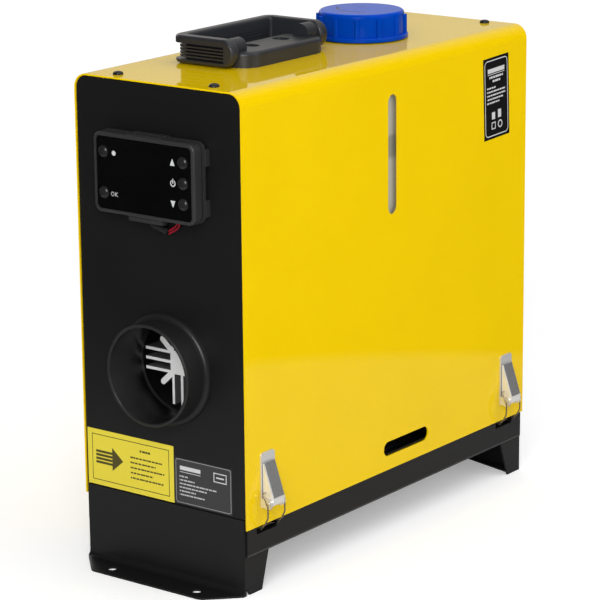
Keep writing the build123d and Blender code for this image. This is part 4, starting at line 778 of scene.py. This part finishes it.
def makeKeys(values):  # dome: radius follows a sine and depth one minus a cosine; then rim and stem
    turn = np.linspace(0, np.pi / 2, values["rings"])
    dome = np.stack([values["radius"] * np.sin(turn), values["rise"] * (1 - np.cos(turn))], axis=1)
    rimDepth, rimRadius, rimBack = values["rim"]
    stemRadius, stemBack = values["stem"]
    behind = [(values["radius"], rimDepth), (rimRadius, rimDepth), (rimRadius, rimBack),
              (stemRadius, rimBack), (stemRadius, stemBack), (0, stemBack)]
    profile = [tuple(point) for point in dome] + behind
    for node, body in values["bodies"].items():
        (_, front, _), (middleX, _, middleZ) = boxOf(node)
        key = turnedPiece(node + "Dome", profile, (middleX, front, middleZ), values["spokes"],
                          values["rings"] - 2)
        key.data.materials.append(surfaceOf["button_plastic"])
        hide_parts(node)
        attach(key, body)


stageNote("keys")
makeKeys(keyShape)

# floor, lights and camera
whiteBackdrop = 1.05  # strength of the plain white that the camera sees
floorLook = {
    "half": 6.0,  # metres
    "dark": grey(0.84),
    "light": grey(0.88),
    "mirrored": 0.03,  # light of the floor where polished surfaces see it dark
    "bright": (0.51, 0.10),  # how far out they see it bright, and over how much it changes
    "nearMix": 0.62,  # share of the dark one inside that
    "lift": 0.31,  # light added for the camera alone, so that the floor stays white
    "plain": (1.1, 0.8),  # how far out the camera sees plain white, and over how much it changes
}


def floorSurface(values):  # matt white, lifted for the camera; polished surfaces see it dark far out
    p = Paint("floorSurface")
    color = p.blend(p.noise(0.004, 2.0), values["dark"], values["light"])
    matt = p.coat({"Base Color": color, "Roughness": 0.8, "Specular IOR Level": 0.0})
    far = reach(p.x, p.y) * mm
    mirrored = p.seenBy("Is Glossy Ray") * far.over(*values["bright"]).most(values["nearMix"])
    reflected = p.choose(mirrored, matt, p.glow(values["mirrored"]))
    lifted = p.node("ShaderNodeAddShader", {}, {0: reflected, 1: p.glow(values["lift"])}).outputs[0]
    faded = p.choose(far.over(*values["plain"]), lifted, p.glow(whiteBackdrop))
    return p.show(p.choose(p.seenBy("Is Camera Ray"), reflected, faded))


def makeFloor(values):  # one square on the ground
    half = values["half"]
    corners = [(-half, -half, 0), (half, -half, 0), (half, half, 0), (-half, half, 0)]
    mesh = bpy.data.meshes.new("studioFloor")
    mesh.from_pydata(corners, [], [(0, 1, 2, 3)])
    floor = bpy.data.objects.new("studioFloor", mesh)
    bpy.context.scene.collection.objects.link(floor)
    floor.data.materials.append(floorSurface(values))


studioLamps = {
    "keyLamp": {"place": (2.1, 0.5, 0.9), "size": (1.6, 1.4), "power": 7.5},
    "frontLamp": {"place": (1.1, -1.9, 1.2), "size": (1.2, 1.2), "power": 29.5},
    "topLamp": {"place": (0.7, 0.5, 2.2), "size": (1.8, 2.0), "power": 13.0},
    "fillLamp": {"place": (-2.4, 1.3, 1.5), "size": (1.6, 1.6), "power": 8.0},
}
lampAim = (0, 0, 0.2)


def makeLight(name, values):  # a soft rectangle that faces the aim
    light = bpy.data.lights.new(name, "AREA")
    light.shape = "RECTANGLE"
    light.size, light.size_y = values["size"]
    light.energy = values["power"]
    lamp = bpy.data.objects.new(name, light)
    lamp.location = values["place"]
    toward = Vector(lampAim) - lamp.location
    lamp.rotation_euler = toward.to_track_quat("-Z", "Y").to_euler()
    bpy.context.scene.collection.objects.link(lamp)


skyLook = {
    "even": 0.50,  # light on matt surfaces from all round
    "horizon": (0.62, 0.60, 0.56),  # what polished surfaces see at a low angle behind the part
    "rest": grey(0.012),  # and everywhere else
    "behind": (-0.61, 0.79, 0.0),
    "band": (0.55, 0.40),  # where it changes, as the cosine to that direction, and over how much
}


def makeWorld(values):  # white to the camera, even to matt surfaces; polished ones see it pale behind
    world = bpy.data.worlds.new("studioWorld")
    bpy.context.scene.world = world
    sky = Nodes(world)

    def light(color, strength):
        return sky.node("ShaderNodeBackground", {}, {"Color": color, "Strength": strength}).outputs[0]

    white = (1.0, 1.0, 1.0, 1.0)
    turned = sky.node("ShaderNodeVectorMath", {"operation": "DOT_PRODUCT"},
                      {0: sky.coords.outputs["Generated"], 1: values["behind"]})
    behind = Ink(sky, turned.outputs["Value"]).over(*values["band"])
    polished = light(sky.blend(behind, values["rest"], values["horizon"]), 1.0)
    unseen = sky.choose(sky.seenBy("Is Glossy Ray"), light(white, values["even"]), polished)
    seen = sky.choose(sky.seenBy("Is Camera Ray"), unseen, light(white, whiteBackdrop))
    sky.node("ShaderNodeOutputWorld", {}, {"Surface": seen})


cameraView = {  # found from the photograph's edges
    "place": (1244.72, -1645.91, 711.92),  # mm, part frame
    "turn": 37.262,  # degrees round the object
    "rise": 14.683,  # degrees above the horizon
    "roll": -0.528,
    "focal": 2797.19,  # pixels
    "picture": 600,  # width in pixels
    "sensor": 36.0,
    "clip": (0.05, 60),
}


def makeCamera(values):  # its back points round by the turn and up by the rise, then it is rolled
    turn, rise, roll = (math.radians(values[key]) for key in ("turn", "rise", "roll"))
    back = Vector((math.sin(turn) * math.cos(rise), -math.cos(turn) * math.cos(rise), math.sin(rise)))
    right = Vector((math.cos(turn), math.sin(turn), 0))
    up = back.cross(right)
    rolledRight = right * math.cos(roll) + up * math.sin(roll)
    rolledUp = up * math.cos(roll) - right * math.sin(roll)
    camera = bpy.data.cameras.new("photoCamera")
    camera.sensor_width = values["sensor"]
    camera.lens = values["focal"] / values["picture"] * values["sensor"]
    camera.clip_start, camera.clip_end = values["clip"]
    holder = bpy.data.objects.new("photoCamera", camera)
    turned = Matrix((rolledRight, rolledUp, back)).transposed().to_4x4()
    holder.matrix_world = Matrix.Translation(Vector(values["place"]) * mm) @ turned
    bpy.context.scene.collection.objects.link(holder)
    bpy.context.scene.camera = holder


stageNote("stage")
makeFloor(floorLook)
for lampName, lampValues in studioLamps.items():
    makeLight(lampName, lampValues)
makeWorld(skyLook)
makeCamera(cameraView)
bpy.context.scene.view_settings.view_transform = "Standard"
